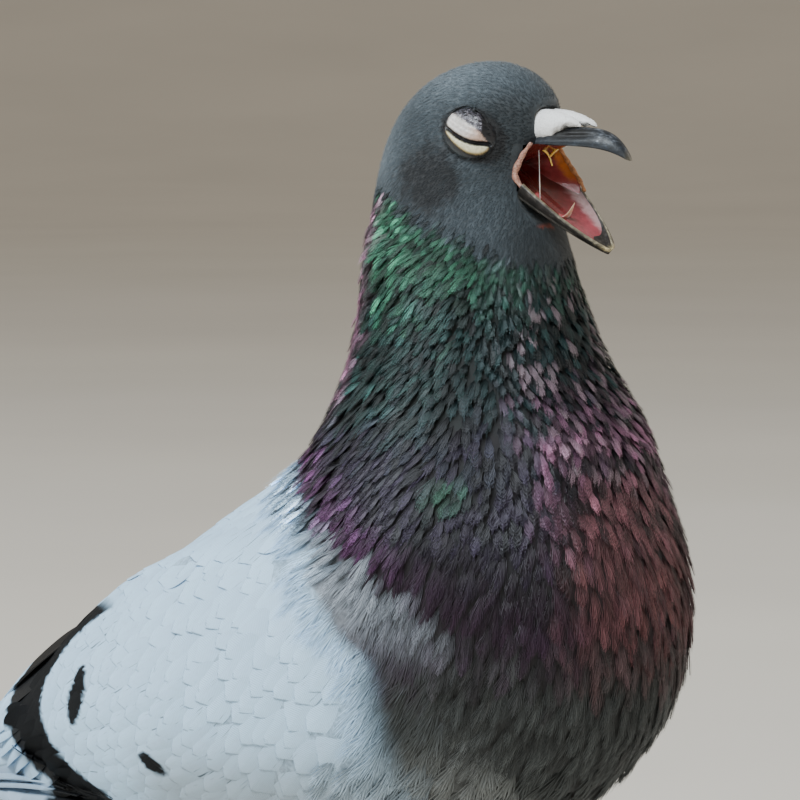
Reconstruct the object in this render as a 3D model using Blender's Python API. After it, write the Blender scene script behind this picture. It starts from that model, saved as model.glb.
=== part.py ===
"""A life-size rock pigeon, standing upright and yawning with its eyes closed.

The bird faces -Y and its left side is +X.  Every shape is worked out in the bird's
own coordinates first: f runs forward along the body, s to the bird's left and z up
from the floor.  The last step turns them into world coordinates and centres the model.

The trunk, neck and head are one loft.  Its rings are named stations down the spine,
each given by a point on the back, a point on the front or belly, and a half-width,
and thin gaps part the loft into head, neck, breast, belly and rump.  Wings lie over
the loft at a small clearance, and the legs are cut to it.
"""

import math

import bmesh
import bpy
from mathutils import Matrix, Vector

MM = 0.001

# ---- driving dimensions, in millimetres -------------------------------------------
CROWN_HEIGHT = 220.0          # top of the head above the floor
GAP = 0.4                     # clearance between pieces that touch
HEAD_TURN = math.radians(6)   # the head looks a little to the bird's left
HEAD_TURN_FULL = -30.0        # above this depth below the crown the whole turn applies
HEAD_TURN_NONE = -72.0        # below this one there is none

RING_SEGMENTS = 28            # facets round the trunk, neck and head
RINGS_PER_STATION = 2         # rings between two named stations

# Parting lines, as positions along the list of stations.
HEAD_END = 7.55
NECK_END = 11.5
BREAST_END = 15.5
BELLY_END = 18.6

# Eye and its socket.
EYE_FORWARD = 9.0
EYE_DEPTH = -14.9
EYE_SIDE = 7.0
EYE_RADIUS = 5.9

# Bill: where the upper and lower halves start and end, measured from the crown.
UPPER_ROOT = 21.5
UPPER_TIP = 41.0
LOWER_ROOT = (20.6, -25.2)
LOWER_TIP = (36.4, -37.7)
GAPE_HALF_WIDTH = 7.3
JAW_ROLL = 2.6                # the yawn lifts the left side of the lower bill by this at its root

# Tail.
TAIL_ROOT = (-120.8, -145.0)
TAIL_PITCH = math.radians(27)
TAIL_LENGTH = 96.0
TAIL_ROOT_HALF_WIDTH = 13.6
TAIL_TIP_HALF_WIDTH = 29.0

# Legs.
FOOT_FORWARD = -27.0
FOOT_SIDE = 24.0
FOOT_SPLAY = math.radians(9)
ANKLE_HEIGHT = 30.0
ANKLE_FORWARD = -37.0
PAD_HEIGHT = 4.6


class Station:
    """One ring of the loft: its back point, its front point and its half-width."""

    def __init__(self, name, back, front, half_width, widest=0.5):
        self.name = name
        self.back = back
        self.front = front
        self.half_width = half_width
        self.widest = widest


# Heights here are measured down from the crown.
SPINE = [
    Station("crown pole", (7.9, -0.02), (8.9, -0.02), 0.5),
    Station("crown", (2.5, -0.75), (14.0, -0.75), 4.2),
    Station("upper skull", (-4.2, -3.3), (19.6, -3.3), 7.7),
    Station("brow", (-9.6, -7.2), (23.0, -7.2), 10.6, 0.52),
    Station("eye top", (-13.4, -11.6), (24.4, -11.6), 12.2, 0.54),
    Station("eye", (-16.1, -16.8), (23.4, -16.8), 13.0, 0.54),
    Station("cheek", (-17.6, -21.6), (22.0, -21.6), 13.4, 0.54),
    Station("jaw", (-18.6, -26.6), (21.8, -27.4), 14.6, 0.54),
    Station("throat", (-19.3, -32.4), (25.8, -34.6), 17.4, 0.52),
    Station("upper neck", (-19.2, -40.0), (27.0, -42.2), 20.6),
    Station("neck", (-18.8, -50.0), (29.2, -51.6), 23.4),
    Station("lower neck", (-20.6, -59.6), (32.6, -61.2), 26.2),
    Station("neck base", (-23.6, -69.6), (39.4, -72.6), 31.2),
    Station("collar", (-28.0, -77.4), (46.0, -86.4), 36.6),
    Station("upper breast", (-34.6, -82.4), (51.0, -101.0), 40.2),
    Station("breast", (-43.0, -86.6), (52.6, -117.0), 41.4),
    Station("lower breast", (-53.0, -91.8), (48.4, -132.0), 41.6),
    Station("shoulder", (-63.0, -97.8), (37.0, -145.4), 41.2),
    Station("mid back", (-73.0, -104.6), (20.0, -156.0), 40.2),
    Station("belly", (-82.6, -112.0), (-2.0, -162.6), 38.2),
    Station("loin", (-92.0, -119.8), (-26.0, -165.4), 34.4),
    Station("flank", (-101.0, -127.2), (-50.0, -164.8), 29.0),
    Station("rump", (-109.6, -133.6), (-74.0, -162.4), 23.6),
    Station("vent", (-118.4, -139.6), (-95.0, -159.6), 18.2),
    Station("tail root", (-125.4, -144.0), (-110.0, -158.4), 14.6),
]
BODY_END = len(SPINE) - 1.0

# The wings go on over the tail, round these further rings, which carry no body.
SPINE += [
    Station("tail base", (-138.0, -150.0), (-131.0, -164.0), 15.8),
    Station("tail middle", (-160.0, -160.2), (-156.0, -172.0), 17.5),
    Station("wing tips", (-184.0, -172.0), (-181.0, -181.5), 18.0),
]

# The folded wing: its bend and tip as places down the spine, and evenly spaced along it
# the angles of its lower and upper edge round the body, in degrees, and how far it rises.
WING_BEND = 15.75
WING_TIP = 27.0
WING_OUTLINE = (
    (62, 122, 1.2),
    (50, 146, 4.4),
    (46, 158, 4.8),
    (47, 165, 4.6),
    (51, 169, 4.0),
    (59, 171, 3.2),
    (71, 171, 2.6),
    (84, 168, 2.1),
    (98, 158, 1.7),
    (112, 140, 1.2),
)


# ---- the loft's surface -----------------------------------------------------------
def smooth_between(values, place):
    """Catmull-Rom reading of a list of numbers at a fractional place."""
    last = len(values) - 1
    place = min(max(place, 0.0), float(last))
    low = min(int(place), last - 1)
    part = place - low
    before = values[max(low - 1, 0)]
    start = values[low]
    end = values[low + 1]
    after = values[min(low + 2, last)]
    slope_in = (end - before) / 2
    slope_out = (after - start) / 2
    cube = part ** 3
    square = part ** 2
    return (
        (2 * cube - 3 * square + 1) * start
        + (cube - 2 * square + part) * slope_in
        + (3 * square - 2 * cube) * end
        + (cube - square) * slope_out
    )


def spine_at(place):
    """Back point, front point, half-width and widest fraction at a place down the spine."""
    def read(getter):
        return smooth_between([getter(station) for station in SPINE], place)

    back = Vector((read(lambda s: s.back[0]), read(lambda s: s.back[1])))
    front = Vector((read(lambda s: s.front[0]), read(lambda s: s.front[1])))
    return back, front, read(lambda s: s.half_width), read(lambda s: s.widest)


def head_turn_at(depth):
    """The head's turn about the vertical at a depth below the crown."""
    part = (HEAD_TURN_FULL - depth) / (HEAD_TURN_FULL - HEAD_TURN_NONE)
    part = min(max(part, 0.0), 1.0)
    return HEAD_TURN * (1 - part * part * (3 - 2 * part))


def turned(forward, side, depth, full=False):
    """A point given in head coordinates, after the head's turn, in bird coordinates."""
    angle = HEAD_TURN if full else head_turn_at(depth)
    return Vector((
        forward * math.cos(angle) - side * math.sin(angle),
        side * math.cos(angle) + forward * math.sin(angle),
        depth + CROWN_HEIGHT,
    ))


def loft_point(place, angle, grow=0.0):
    """A point of the loft: angle 0 is the front or belly, half a turn is the back.

    grow moves the surface out by that many millimetres.
    """
    back, front, half_width, widest = spine_at(place)
    across = front - back
    length = across.length
    direction = across / length
    centre = back + across * widest
    reach = length * (1 - widest) if math.cos(angle) > 0 else length * widest
    along = (reach + grow) * math.cos(angle)
    side = (half_width + grow) * math.sin(angle)
    point = centre + direction * along
    return turned(point.x, side, point.y)


def loft_normal(place, angle):
    """Outward normal of the loft, from two small steps along it."""
    step = 0.02
    along = loft_point(place + step, angle) - loft_point(place - step, angle)
    round_it = loft_point(place, angle + step) - loft_point(place, angle - step)
    normal = along.cross(round_it).normalized()
    back, front, _, widest = spine_at(place)
    middle = back + (front - back) * widest
    centre = turned(middle.x, 0.0, middle.y)
    if normal.dot(loft_point(place, angle) - centre) < 0:
        normal.negate()
    return normal


# ---- making objects ---------------------------------------------------------------
def clear_scene():
    """Remove every object that the scene starts with."""
    for item in list(bpy.data.objects):
        bpy.data.objects.remove(item, do_unlink=True)


def to_world(point):
    """Bird coordinates in millimetres to world coordinates in metres."""
    return Vector((point.y, -point.x, point.z)) * MM


def finish(name):
    """The finish of a named part, as colour, roughness and metallic value."""
    table = {
        "head": ((0.085, 0.115, 0.140), 0.70),
        "neck": ((0.045, 0.110, 0.085), 0.45),
        "breast": ((0.075, 0.045, 0.070), 0.50),
        "belly": ((0.075, 0.090, 0.095), 0.70),
        "rump": ((0.420, 0.450, 0.480), 0.75),
        "tail": ((0.120, 0.130, 0.145), 0.70),
        "wing": ((0.600, 0.640, 0.670), 0.75),
        "flight": ((0.170, 0.170, 0.180), 0.70),
        "eye": ((0.620, 0.560, 0.450), 0.55),
        "horn": ((0.030, 0.035, 0.045), 0.28),
        "cere": ((0.780, 0.780, 0.760), 0.80),
        "tongue": ((0.600, 0.330, 0.280), 0.35),
        "foot": ((0.420, 0.110, 0.100), 0.60),
    }
    colour, roughness = table[name]
    material = bpy.data.materials.get(name) or bpy.data.materials.new(name)
    material.use_nodes = True
    shader = material.node_tree.nodes["Principled BSDF"]
    shader.inputs["Base Color"].default_value = (*colour, 1.0)
    shader.inputs["Roughness"].default_value = roughness
    shader.inputs["Metallic"].default_value = 0.0
    return material


def make_object(name, mesh_maker, look):
    """A named object from a bmesh, closed, facing out and shaded smooth."""
    bmesh.ops.recalc_face_normals(mesh_maker, faces=mesh_maker.faces)
    mesh = bpy.data.meshes.new(name)
    mesh_maker.to_mesh(mesh)
    mesh_maker.free()
    if volume_of(mesh) < 0:
        mesh.flip_normals()
    mesh.shade_smooth()
    mesh.set_sharp_from_angle(angle=math.radians(50))
    item = bpy.data.objects.new(name, mesh)
    bpy.context.scene.collection.objects.link(item)
    if look:
        mesh.materials.append(finish(look))
    return item


def volume_of(mesh):
    """Signed volume of a closed mesh."""
    total = 0.0
    for face in mesh.polygons:
        corners = [mesh.vertices[index].co for index in face.vertices]
        for second, third in zip(corners[1:], corners[2:]):
            total += corners[0].dot(second.cross(third))
    return total


def loft(name, rings, segments, point_at, look):
    """A closed solid from a sphere primitive whose circles become the rings.

    point_at(part, angle) gives a point in bird coordinates; part runs from 0 to 1 over
    the rings.  The sphere's poles become the middles of the two flat ends.
    """
    maker = bmesh.new()
    bmesh.ops.create_uvsphere(
        maker, u_segments=segments, v_segments=rings + 1, radius=1.0
    )
    for vert in maker.verts:
        polar = math.acos(max(-1.0, min(1.0, vert.co.z)))
        row = round(polar / math.pi * (rings + 1))
        part = min(max((row - 1) / (rings - 1), 0.0), 1.0)
        if row in (0, rings + 1):
            vert.co = to_world((point_at(part, 0.0) + point_at(part, math.pi)) / 2)
        else:
            vert.co = to_world(point_at(part, math.atan2(vert.co.y, vert.co.x)))
    return make_object(name, maker, look)


def body_length(name, start, end, look, segments=RING_SEGMENTS, grow=0.0):
    """One length of the loft between two places down the spine."""
    rings = max(3, round((end - start) * RINGS_PER_STATION) + 1)

    def point_at(part, angle):
        return loft_point(start + (end - start) * part, angle, grow)

    return loft(name, rings, segments, point_at, look)


def as_cutter(item):
    """Mark an object as a guide that only cuts others."""
    item.hide_render = True
    item.display_type = "WIRE"
    return item


def cut(item, cutter):
    """Take the cutter's shape out of an object."""
    modifier = item.modifiers.new("cut " + cutter.name, "BOOLEAN")
    modifier.operation = "DIFFERENCE"
    modifier.solver = "EXACT"
    modifier.object = cutter


# ---- head and bill ----------------------------------------------------------------
def head_point(forward, side, depth):
    """A point fixed to the head."""
    return turned(forward, side, depth, full=True)


def eye(side_sign, name, grow, look):
    """An eyeball, or its socket when grown."""
    maker = bmesh.new()
    radius = EYE_RADIUS + grow
    bmesh.ops.create_uvsphere(maker, u_segments=14, v_segments=8, radius=radius * MM)
    centre = to_world(head_point(EYE_FORWARD, side_sign * EYE_SIDE, EYE_DEPTH))
    bmesh.ops.translate(maker, verts=maker.verts, vec=centre)
    return make_object(name, maker, look)


def upper_bill_section(part):
    """Forward place, top, bottom and half-width of the upper bill at a part of its length."""
    forward = UPPER_ROOT + (UPPER_TIP - UPPER_ROOT) * part
    under_cere = max(0.0, 1 - part / 0.34)
    top = -13.6 - 1.1 * under_cere - 6.3 * part ** 6
    bottom = -17.3 - 0.5 * part - 2.6 * part ** 5
    bottom = min(bottom, top - 0.5)
    half_width = 4.7 - 1.6 * part - 2.3 * part ** 3
    return forward, top, bottom, half_width


def upper_bill(name, grow, look):
    """The horny upper half of the bill, with its slightly hooked tip."""
    def point_at(part, angle):
        forward, top, bottom, half_width = upper_bill_section(part)
        middle = (top + bottom) / 2
        half_height = (top - bottom) / 2 + grow
        forward += grow * (2 * part - 1)
        side = (half_width + grow) * math.sin(angle)
        return head_point(forward, side, middle - half_height * math.cos(angle))

    return loft(name, 10, 12, point_at, look)


def cere(name, grow, look):
    """The powdery swelling over the nostrils, two lobes with a groove between them."""
    root = 20.0
    length = 9.0

    def point_at(part, angle):
        forward = root + length * part
        _, bill_top, _, _ = upper_bill_section(max(0.0, (forward - UPPER_ROOT) / (UPPER_TIP - UPPER_ROOT)))
        bulge = math.sqrt(max(0.0, 1 - (1.35 * part - 0.42) ** 2))
        bottom = bill_top + GAP - grow
        height = 0.7 + 3.5 * bulge + 2 * grow
        half_width = 2.6 + 2.7 * bulge + grow
        level = (1 - math.cos(angle)) / 2
        side = math.sin(angle)
        groove = 0.9 * bulge * level ** 4 * max(0.0, 1 - abs(side) * 3.2)
        return head_point(
            forward + grow * (2 * part - 1),
            half_width * side,
            bottom + height * level - groove,
        )

    return loft(name, 8, 16, point_at, look)


def jaw_frame(part, width_part, lift):
    """A point in the lower bill: along it, across it, and above its rim line."""
    start = Vector(LOWER_ROOT)
    end = Vector(LOWER_TIP)
    direction = (end - start).normalized()
    normal = Vector((-direction.y, direction.x))
    half_width = GAPE_HALF_WIDTH * math.sqrt(max(0.0, 1 - max(0.0, part) ** 1.7)) + 0.35
    roll = JAW_ROLL * (1 + width_part) / 2 * (1 - max(0.0, part))
    point = start + (end - start) * part + normal * (lift + roll)
    return head_point(point.x, half_width * width_part, point.y)


def lower_bill(name, look):
    """The lower half of the bill, a V-shaped trough spread wide open by the yawn."""
    wall = 0.13

    def point_at(part, angle):
        depth = 4.3 * (1 - part) + 1.2
        round_it = angle / math.pi
        level = abs(round_it)
        sign = 1.0 if round_it >= 0 else -1.0
        if level <= 0.6:
            swing = level / 0.6 * math.pi / 2
            return jaw_frame(part, sign * math.sin(swing), -depth * math.cos(swing))
        swing = (1 - level) / 0.4 * math.pi / 2
        return jaw_frame(part, sign * math.sin(swing) * (1 - wall), -depth * 0.66 * math.cos(swing) + 0.12)

    return loft(name, 8, 18, point_at, look)


def mouth_cutter():
    """The open mouth between the jaws, as far back as it can be seen."""
    def point_at(part, angle):
        forward = 8.0 + 24.0 * part
        ceiling = -17.9 - 0.2 * part
        floor = -21.5 - 6.5 * part ** 1.3
        half_width = 4.2 + 3.8 * part
        middle = (ceiling + floor) / 2
        half_height = (ceiling - floor) / 2
        return head_point(
            forward, half_width * math.sin(angle), middle - half_height * math.cos(angle)
        )

    return as_cutter(loft("mouth_space", 5, 14, point_at, None))


def tongue():
    """The pointed tongue, lying in the trough of the lower bill."""
    length = 13.5

    def point_at(part, angle):
        along = 0.02 + length / 20.0 * part
        half_width = 1.9 * math.sqrt(max(0.02, 1 - part ** 2.2))
        start = Vector(LOWER_ROOT)
        end = Vector(LOWER_TIP)
        direction = (end - start).normalized()
        normal = Vector((-direction.y, direction.x))
        lift = -0.9 + 1.5 * part
        thickness = 0.75 * (1 - 0.55 * part)
        point = start + (end - start) * along + normal * (lift - thickness * math.cos(angle))
        return head_point(point.x, half_width * math.sin(angle), point.y)

    return loft("tongue", 8, 10, point_at, "tongue")


def jaw_cutter():
    """Room in the head for the root of the lower bill and the tongue."""
    def point_at(part, angle):
        depth = 4.3 * (1 - part) + 1.2 + GAP
        reach = 2.4 if math.cos(angle) < 0 else depth
        along = 0.9 * part - 0.03
        return jaw_frame(along, math.sin(angle) * (1 + 0.08), -reach * math.cos(angle))

    return as_cutter(loft("jaw_space", 6, 16, point_at, None))


def head_group():
    """Head, eyes, cere, both halves of the bill and the tongue."""
    head = body_length("head", 0.0, HEAD_END, "head")
    for sign, name in ((1, "eye_left"), (-1, "eye_right")):
        eye(sign, name, 0.0, "eye")
        cut(head, as_cutter(eye(sign, name + "_socket", GAP, None)))
    cere("cere", 0.0, "cere")
    upper_bill("upper_bill", 0.0, "horn")
    lower_bill("lower_bill", "horn")
    tongue()
    cut(head, as_cutter(cere("cere_seat", GAP, None)))
    cut(head, as_cutter(upper_bill("upper_bill_seat", GAP, None)))
    cut(head, mouth_cutter())
    jaw_space = jaw_cutter()
    cut(head, jaw_space)
    return jaw_space


# ---- wings ------------------------------------------------------------------------
def wing_edges(part):
    """Lower and upper edge of the folded wing as angles round the body, and its rise."""
    place = part * (len(WING_OUTLINE) - 1)
    low = smooth_between([row[0] for row in WING_OUTLINE], place)
    high = smooth_between([row[1] for row in WING_OUTLINE], place)
    rise = smooth_between([row[2] for row in WING_OUTLINE], place)
    return math.radians(low), math.radians(high), rise


def wing_front(level):
    """Where the bend of the wing lies down the spine: it is rounded, and leans back below."""
    return WING_BEND + 0.9 * (2 * level - 1) ** 2 - 1.1 * level


def coverts_end(level):
    """Rear edge of the arm's coverts and inner feathers, lowest at level 0."""
    return 20.4 + 4.2 * level ** 0.8


def wing_piece(sign, name, start_at, end_at, fineness, clearance, look):
    """A shell that follows the body between two edges that vary across the wing."""
    thinnest = 1.1
    along, across = fineness
    maker = bmesh.new()
    bmesh.ops.create_grid(maker, x_segments=along, y_segments=across, size=1.0)
    heights = []
    for vert in maker.verts:
        level = (vert.co.y + 1) / 2
        start = start_at(level)
        place = start + (end_at(level) - start) * (vert.co.x + 1) / 2
        front = wing_front(level)
        part = (place - front) / (WING_TIP - front)
        low, high, rise = wing_edges(part)
        angle = sign * (low + (high - low) * level)
        rim = 2 * min(level, 1 - level)
        fullness = math.sqrt(max(0.0, 1 - (1 - rim) ** 2.4)) * min(1.0, part * 5.0) ** 0.7
        height = thinnest + (rise - thinnest) * fullness
        heights.append(height)
        surface = loft_point(place, angle) + loft_normal(place, angle) * (clearance + height)
        vert.co = to_world(surface)
    return shell_from_sheet(name, maker, heights, look)


def wing(sign, label):
    """The folded arm with its coverts, and behind it the long outer flight feathers."""
    parting = 0.24
    wing_piece(sign, "wing_" + label, wing_front, coverts_end, (16, 10), 0.9, "wing")
    wing_piece(
        sign,
        "primaries_" + label,
        lambda level: coverts_end(level) + parting,
        lambda level: WING_TIP,
        (10, 6),
        1.4,
        "flight",
    )


def shell_from_sheet(name, maker, heights, look):
    """A closed shell under a sheet, as thick at each vertex as its height says."""
    mesh = bpy.data.meshes.new(name)
    bmesh.ops.recalc_face_normals(maker, faces=maker.faces)
    maker.to_mesh(mesh)
    maker.free()
    item = bpy.data.objects.new(name, mesh)
    bpy.context.scene.collection.objects.link(item)
    mesh.materials.append(finish(look))
    mesh.shade_smooth()
    mesh.set_sharp_from_angle(angle=math.radians(50))
    if faces_inward(mesh):
        mesh.flip_normals()
    tallest = max(heights)
    group = item.vertex_groups.new(name="thickness")
    for index, height in enumerate(heights):
        group.add([index], height / tallest, "REPLACE")
    solid = item.modifiers.new("thickness", "SOLIDIFY")
    solid.thickness = tallest * MM
    solid.offset = -1.0
    solid.vertex_group = group.name
    solid.use_even_offset = False
    return item


def faces_inward(mesh):
    """True when a sheet over the body faces the body's middle plane."""
    total = sum(face.normal.x * face.center.x * face.area for face in mesh.polygons)
    return total < 0


# ---- tail -------------------------------------------------------------------------
def tail():
    """The folded fan of tail feathers, a little arched across and rounded at its end.

    Its front end is the last ring of the rump, moved back by a small gap.
    """
    along = Vector((-math.cos(TAIL_PITCH), -math.sin(TAIL_PITCH)))
    up = Vector((along.y, -along.x))
    step_back = Vector((along.x, 0.0, along.y)) * 2.5 * GAP
    root_half_height = 6.8
    tip_half_height = 1.1

    def point_at(part, angle):
        narrowing = (1 - part) ** 2.2
        half_width = TAIL_ROOT_HALF_WIDTH
        half_width += (TAIL_TIP_HALF_WIDTH - TAIL_ROOT_HALF_WIDTH) * part ** 0.9
        half_height = tip_half_height + (root_half_height - tip_half_height) * narrowing
        across = math.sin(angle)
        arch = -4.5 * part * across ** 2
        rounding = -7.0 * part ** 6 * across ** 2
        centre = Vector(TAIL_ROOT) + along * (TAIL_LENGTH * part + rounding)
        centre += up * (arch - 1.0 - 4.6 * narrowing - half_height * math.cos(angle))
        fan = Vector((centre.x, half_width * across, centre.y + CROWN_HEIGHT))
        return fan.lerp(loft_point(BODY_END, angle) + step_back, (1 - part) ** 5)

    return loft("tail", 9, 14, point_at, "tail")


# ---- legs and feet ----------------------------------------------------------------
def thigh(sign, name, body_cutter):
    """The feathered upper leg, from the belly down to the ankle."""
    top = Vector((-17.0, 12.6, 80.0))
    bottom = Vector((ANKLE_FORWARD, FOOT_SIDE, ANKLE_HEIGHT + 3.2))

    def point_at(part, angle):
        centre = top.lerp(bottom, part)
        radius = 4.1 + 12.6 * (1 - part) ** 1.2
        forward = radius * 1.3 * math.cos(angle)
        side = radius * 0.8 * math.sin(angle)
        return Vector((centre.x + forward, sign * (centre.y + side), centre.z))

    item = loft(name, 7, 14, point_at, "belly")
    cut(item, body_cutter)
    return item


def tarsus(sign, name):
    """The bare lower leg with the knob of the ankle and the pad under the toes."""
    rows = (
        # height, forward, radius
        (0.0, FOOT_FORWARD, 3.3),
        (1.5, FOOT_FORWARD, 4.5),
        (3.4, FOOT_FORWARD, 4.6),
        (PAD_HEIGHT + 1.6, FOOT_FORWARD - 1.2, 3.4),
        (10.0, FOOT_FORWARD - 2.6, 2.2),
        (18.5, FOOT_FORWARD - 5.8, 2.05),
        (25.5, FOOT_FORWARD - 8.6, 2.4),
        (29.6, ANKLE_FORWARD, 3.2),
        (ANKLE_HEIGHT + 2.6, ANKLE_FORWARD, 2.5),
    )

    def point_at(part, angle):
        place = part * (len(rows) - 1)
        height = smooth_between([row[0] for row in rows], place)
        forward = smooth_between([row[1] for row in rows], place)
        radius = smooth_between([row[2] for row in rows], place)
        return Vector((
            forward + radius * math.cos(angle),
            sign * (FOOT_SIDE + 0.9 * radius * math.sin(angle)),
            height,
        ))

    return loft(name, 2 * len(rows) - 5, 10, point_at, "foot")


class Toe:
    """One toe: its direction in the foot, its length and its thickness."""

    def __init__(self, name, heading, start, length, radius, claw):
        self.name = name
        self.heading = math.radians(heading)
        self.start = start
        self.length = length
        self.radius = radius
        self.claw = claw


# Headings are turned outwards from straight ahead.
TOES = (
    Toe("inner_toe", -41, 6.3, 17.0, 1.75, 6.0),
    Toe("middle_toe", 0, 5.4, 25.0, 1.95, 7.0),
    Toe("outer_toe", 38, 6.3, 18.5, 1.75, 6.0),
    Toe("hind_toe", 176, 5.6, 11.5, 1.65, 6.0),
)


def foot_point(sign, heading, distance, across, height):
    """A point of a foot from its distance along a heading and its offset across it."""
    turn = heading + FOOT_SPLAY
    forward = distance * math.cos(turn) - across * math.sin(turn)
    side = distance * math.sin(turn) + across * math.cos(turn)
    return Vector((FOOT_FORWARD + forward, sign * (FOOT_SIDE + side), height))


def toe(sign, name, design):
    """A toe with its joints' pads, flat where it stands on the floor."""
    def point_at(part, angle):
        pads = 1 + 0.13 * math.cos(2 * math.pi * (3 * part))
        rounded = math.sqrt(max(0.05, 1 - max(0.0, (part - 0.9) / 0.1) ** 2 * 0.8))
        radius = design.radius * (1 - 0.24 * part) * pads * rounded
        height = radius * 0.82 - radius * math.cos(angle)
        distance = design.start + design.length * part
        return foot_point(sign, design.heading, distance, radius * math.sin(angle), max(0.0, height))

    return loft(name, 8, 8, point_at, "foot")


def claw(sign, name, design):
    """A blunt curved claw that goes on from the toe and dips to the floor."""
    def point_at(part, angle):
        radius = 0.95 * (1 - 0.72 * part)
        distance = design.start + design.length + 0.45 + design.claw * part
        middle = 1.25 + 0.9 * part - 1.75 * part ** 2
        height = max(0.05, middle + radius * 1.15 * math.cos(angle))
        return foot_point(sign, design.heading, distance, radius * math.sin(angle), height)

    return loft(name, 4, 6, point_at, "horn")


def leg_group():
    """Both legs, each with its thigh, lower leg, toes and claws."""
    body_cutter = as_cutter(body_length("body_space", 14.0, 23.5, None, grow=GAP))
    for sign, label in ((1, "left"), (-1, "right")):
        thigh(sign, "thigh_" + label, body_cutter)
        tarsus(sign, "lower_leg_" + label)
        for design in TOES:
            toe(sign, design.name + "_" + label, design)
            claw(sign, design.name + "_claw_" + label, design)


# ---- the whole bird ---------------------------------------------------------------
def body_group(jaw_space):
    """The neck, with room for the jaw, and the three lengths of the trunk."""
    half = 0.045
    neck = body_length("neck", HEAD_END + half, NECK_END - half, "neck")
    cut(neck, jaw_space)
    body_length("breast", NECK_END + half, BREAST_END - half, "breast")
    body_length("belly", BREAST_END + half, BELLY_END - half, "belly")
    body_length("rump", BELLY_END + half, BODY_END, "rump")


def centre_model():
    """Move every mesh so that the model's box is centred over the origin."""
    items = [item for item in bpy.data.objects if item.type == "MESH"]
    shown = [item for item in items if not item.hide_render]
    corners = [vert.co for item in shown for vert in item.data.vertices]
    middle_x = (min(c.x for c in corners) + max(c.x for c in corners)) / 2
    middle_y = (min(c.y for c in corners) + max(c.y for c in corners)) / 2
    shift = Matrix.Translation((-middle_x, -middle_y, 0.0))
    for item in items:
        item.data.transform(shift)


def build():
    """Make every part of the pigeon."""
    clear_scene()
    body_group(head_group())
    for sign, label in ((1, "left"), (-1, "right")):
        wing(sign, label)
    tail()
    leg_group()
    centre_model()


build()
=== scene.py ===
"""The looks of a life-size pigeon caught in a yawn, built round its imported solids."""

import logging
import math
from dataclasses import dataclass, field
from enum import Enum
from typing import Callable

import bmesh
import bpy
import numpy as np
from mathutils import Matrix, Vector
from mathutils.bvhtree import BVHTree
from mathutils.kdtree import KDTree


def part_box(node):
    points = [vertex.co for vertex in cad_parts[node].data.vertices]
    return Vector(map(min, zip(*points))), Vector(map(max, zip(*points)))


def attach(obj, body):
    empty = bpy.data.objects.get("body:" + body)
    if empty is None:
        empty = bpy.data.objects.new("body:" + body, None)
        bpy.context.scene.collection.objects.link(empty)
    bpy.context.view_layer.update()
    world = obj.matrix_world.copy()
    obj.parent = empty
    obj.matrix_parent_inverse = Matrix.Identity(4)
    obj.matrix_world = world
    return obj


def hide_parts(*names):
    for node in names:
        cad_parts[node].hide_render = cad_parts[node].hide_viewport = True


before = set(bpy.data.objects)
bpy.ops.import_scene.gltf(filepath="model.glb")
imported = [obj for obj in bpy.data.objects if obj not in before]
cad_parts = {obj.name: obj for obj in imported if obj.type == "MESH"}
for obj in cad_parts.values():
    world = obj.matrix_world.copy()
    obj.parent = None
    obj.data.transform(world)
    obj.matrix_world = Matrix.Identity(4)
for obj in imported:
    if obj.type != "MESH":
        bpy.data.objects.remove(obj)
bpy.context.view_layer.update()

MM = 0.001
BODY = "root"
LOG = logging.getLogger("pigeon")
SIDES = {"right": -1.0, "left": 1.0}
TINT = "tint"
FEATHERED, BARE = 0, 1

Array = np.ndarray
Mesh = bpy.types.Mesh
Piece = bpy.types.Object
Material = bpy.types.Material
Socket = bpy.types.NodeSocket
Maker = bmesh.types.BMesh
Field = Callable[[Array], Array]
Form = Callable[[float, float], tuple]


class Tint(Enum):
    """Display colours, from 0 to 255, of the bird's bare parts."""

    LID_SLIT = (26, 25, 28)
    LID_GREY = (70, 66, 74)
    LID_SPECK = (178, 176, 188)
    LID_PALE = (206, 200, 196)
    LID_ROSY = (194, 164, 148)
    LID_CREAM = (216, 210, 178)
    LID_OCHRE = (150, 122, 62)
    HORN = (38, 44, 52)
    HORN_BLUE = (66, 74, 84)
    HORN_EDGE = (104, 110, 116)
    HORN_TIP = (120, 112, 92)
    HORN_HIGHLIGHT = (140, 146, 156)
    NOSTRIL = (14, 14, 17)
    JAW_HORN = (44, 40, 38)
    JAW_GREY = (96, 92, 86)
    JAW_RIM = (186, 176, 150)
    JAW_HIGHLIGHT = (168, 166, 160)
    JAW_TIP = (196, 180, 136)
    CHALK = (253, 254, 255)
    CERE_TAN = (196, 178, 158)
    CERE_ROOT = (150, 140, 134)
    MAROON = (96, 22, 18)
    THROAT = (48, 10, 8)
    RED = (150, 48, 50)
    PINK = (190, 110, 118)
    GLOW = (158, 62, 66)
    ORANGE = (196, 112, 44)
    GOLD = (226, 170, 84)
    PALATE = (92, 36, 26)
    FLOOR_RED = (88, 20, 20)
    FLOOR_PINK = (150, 62, 72)
    FLOOR_PALE = (184, 166, 166)
    CORNER_TAN = (174, 130, 112)
    CORNER_BROWN = (112, 62, 56)
    CORNER_GREY = (214, 204, 196)
    CORNER_ORANGE = (198, 138, 84)
    CORNER_DARK = (90, 56, 44)
    TONGUE = (176, 84, 84)
    TONGUE_TIP = (218, 188, 160)
    SALIVA = (226, 206, 196)
    AMBER = (244, 188, 74)

    @property
    def linear(self) -> Array:
        """The colour's linear values."""
        return to_linear(self.value)


def srgb(red: float, green: float, blue: float) -> tuple[float, float, float]:
    """Linear colour of display values from 0 to 255."""
    return tuple(float(part) for part in to_linear(np.array([red, green, blue])))


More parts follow.
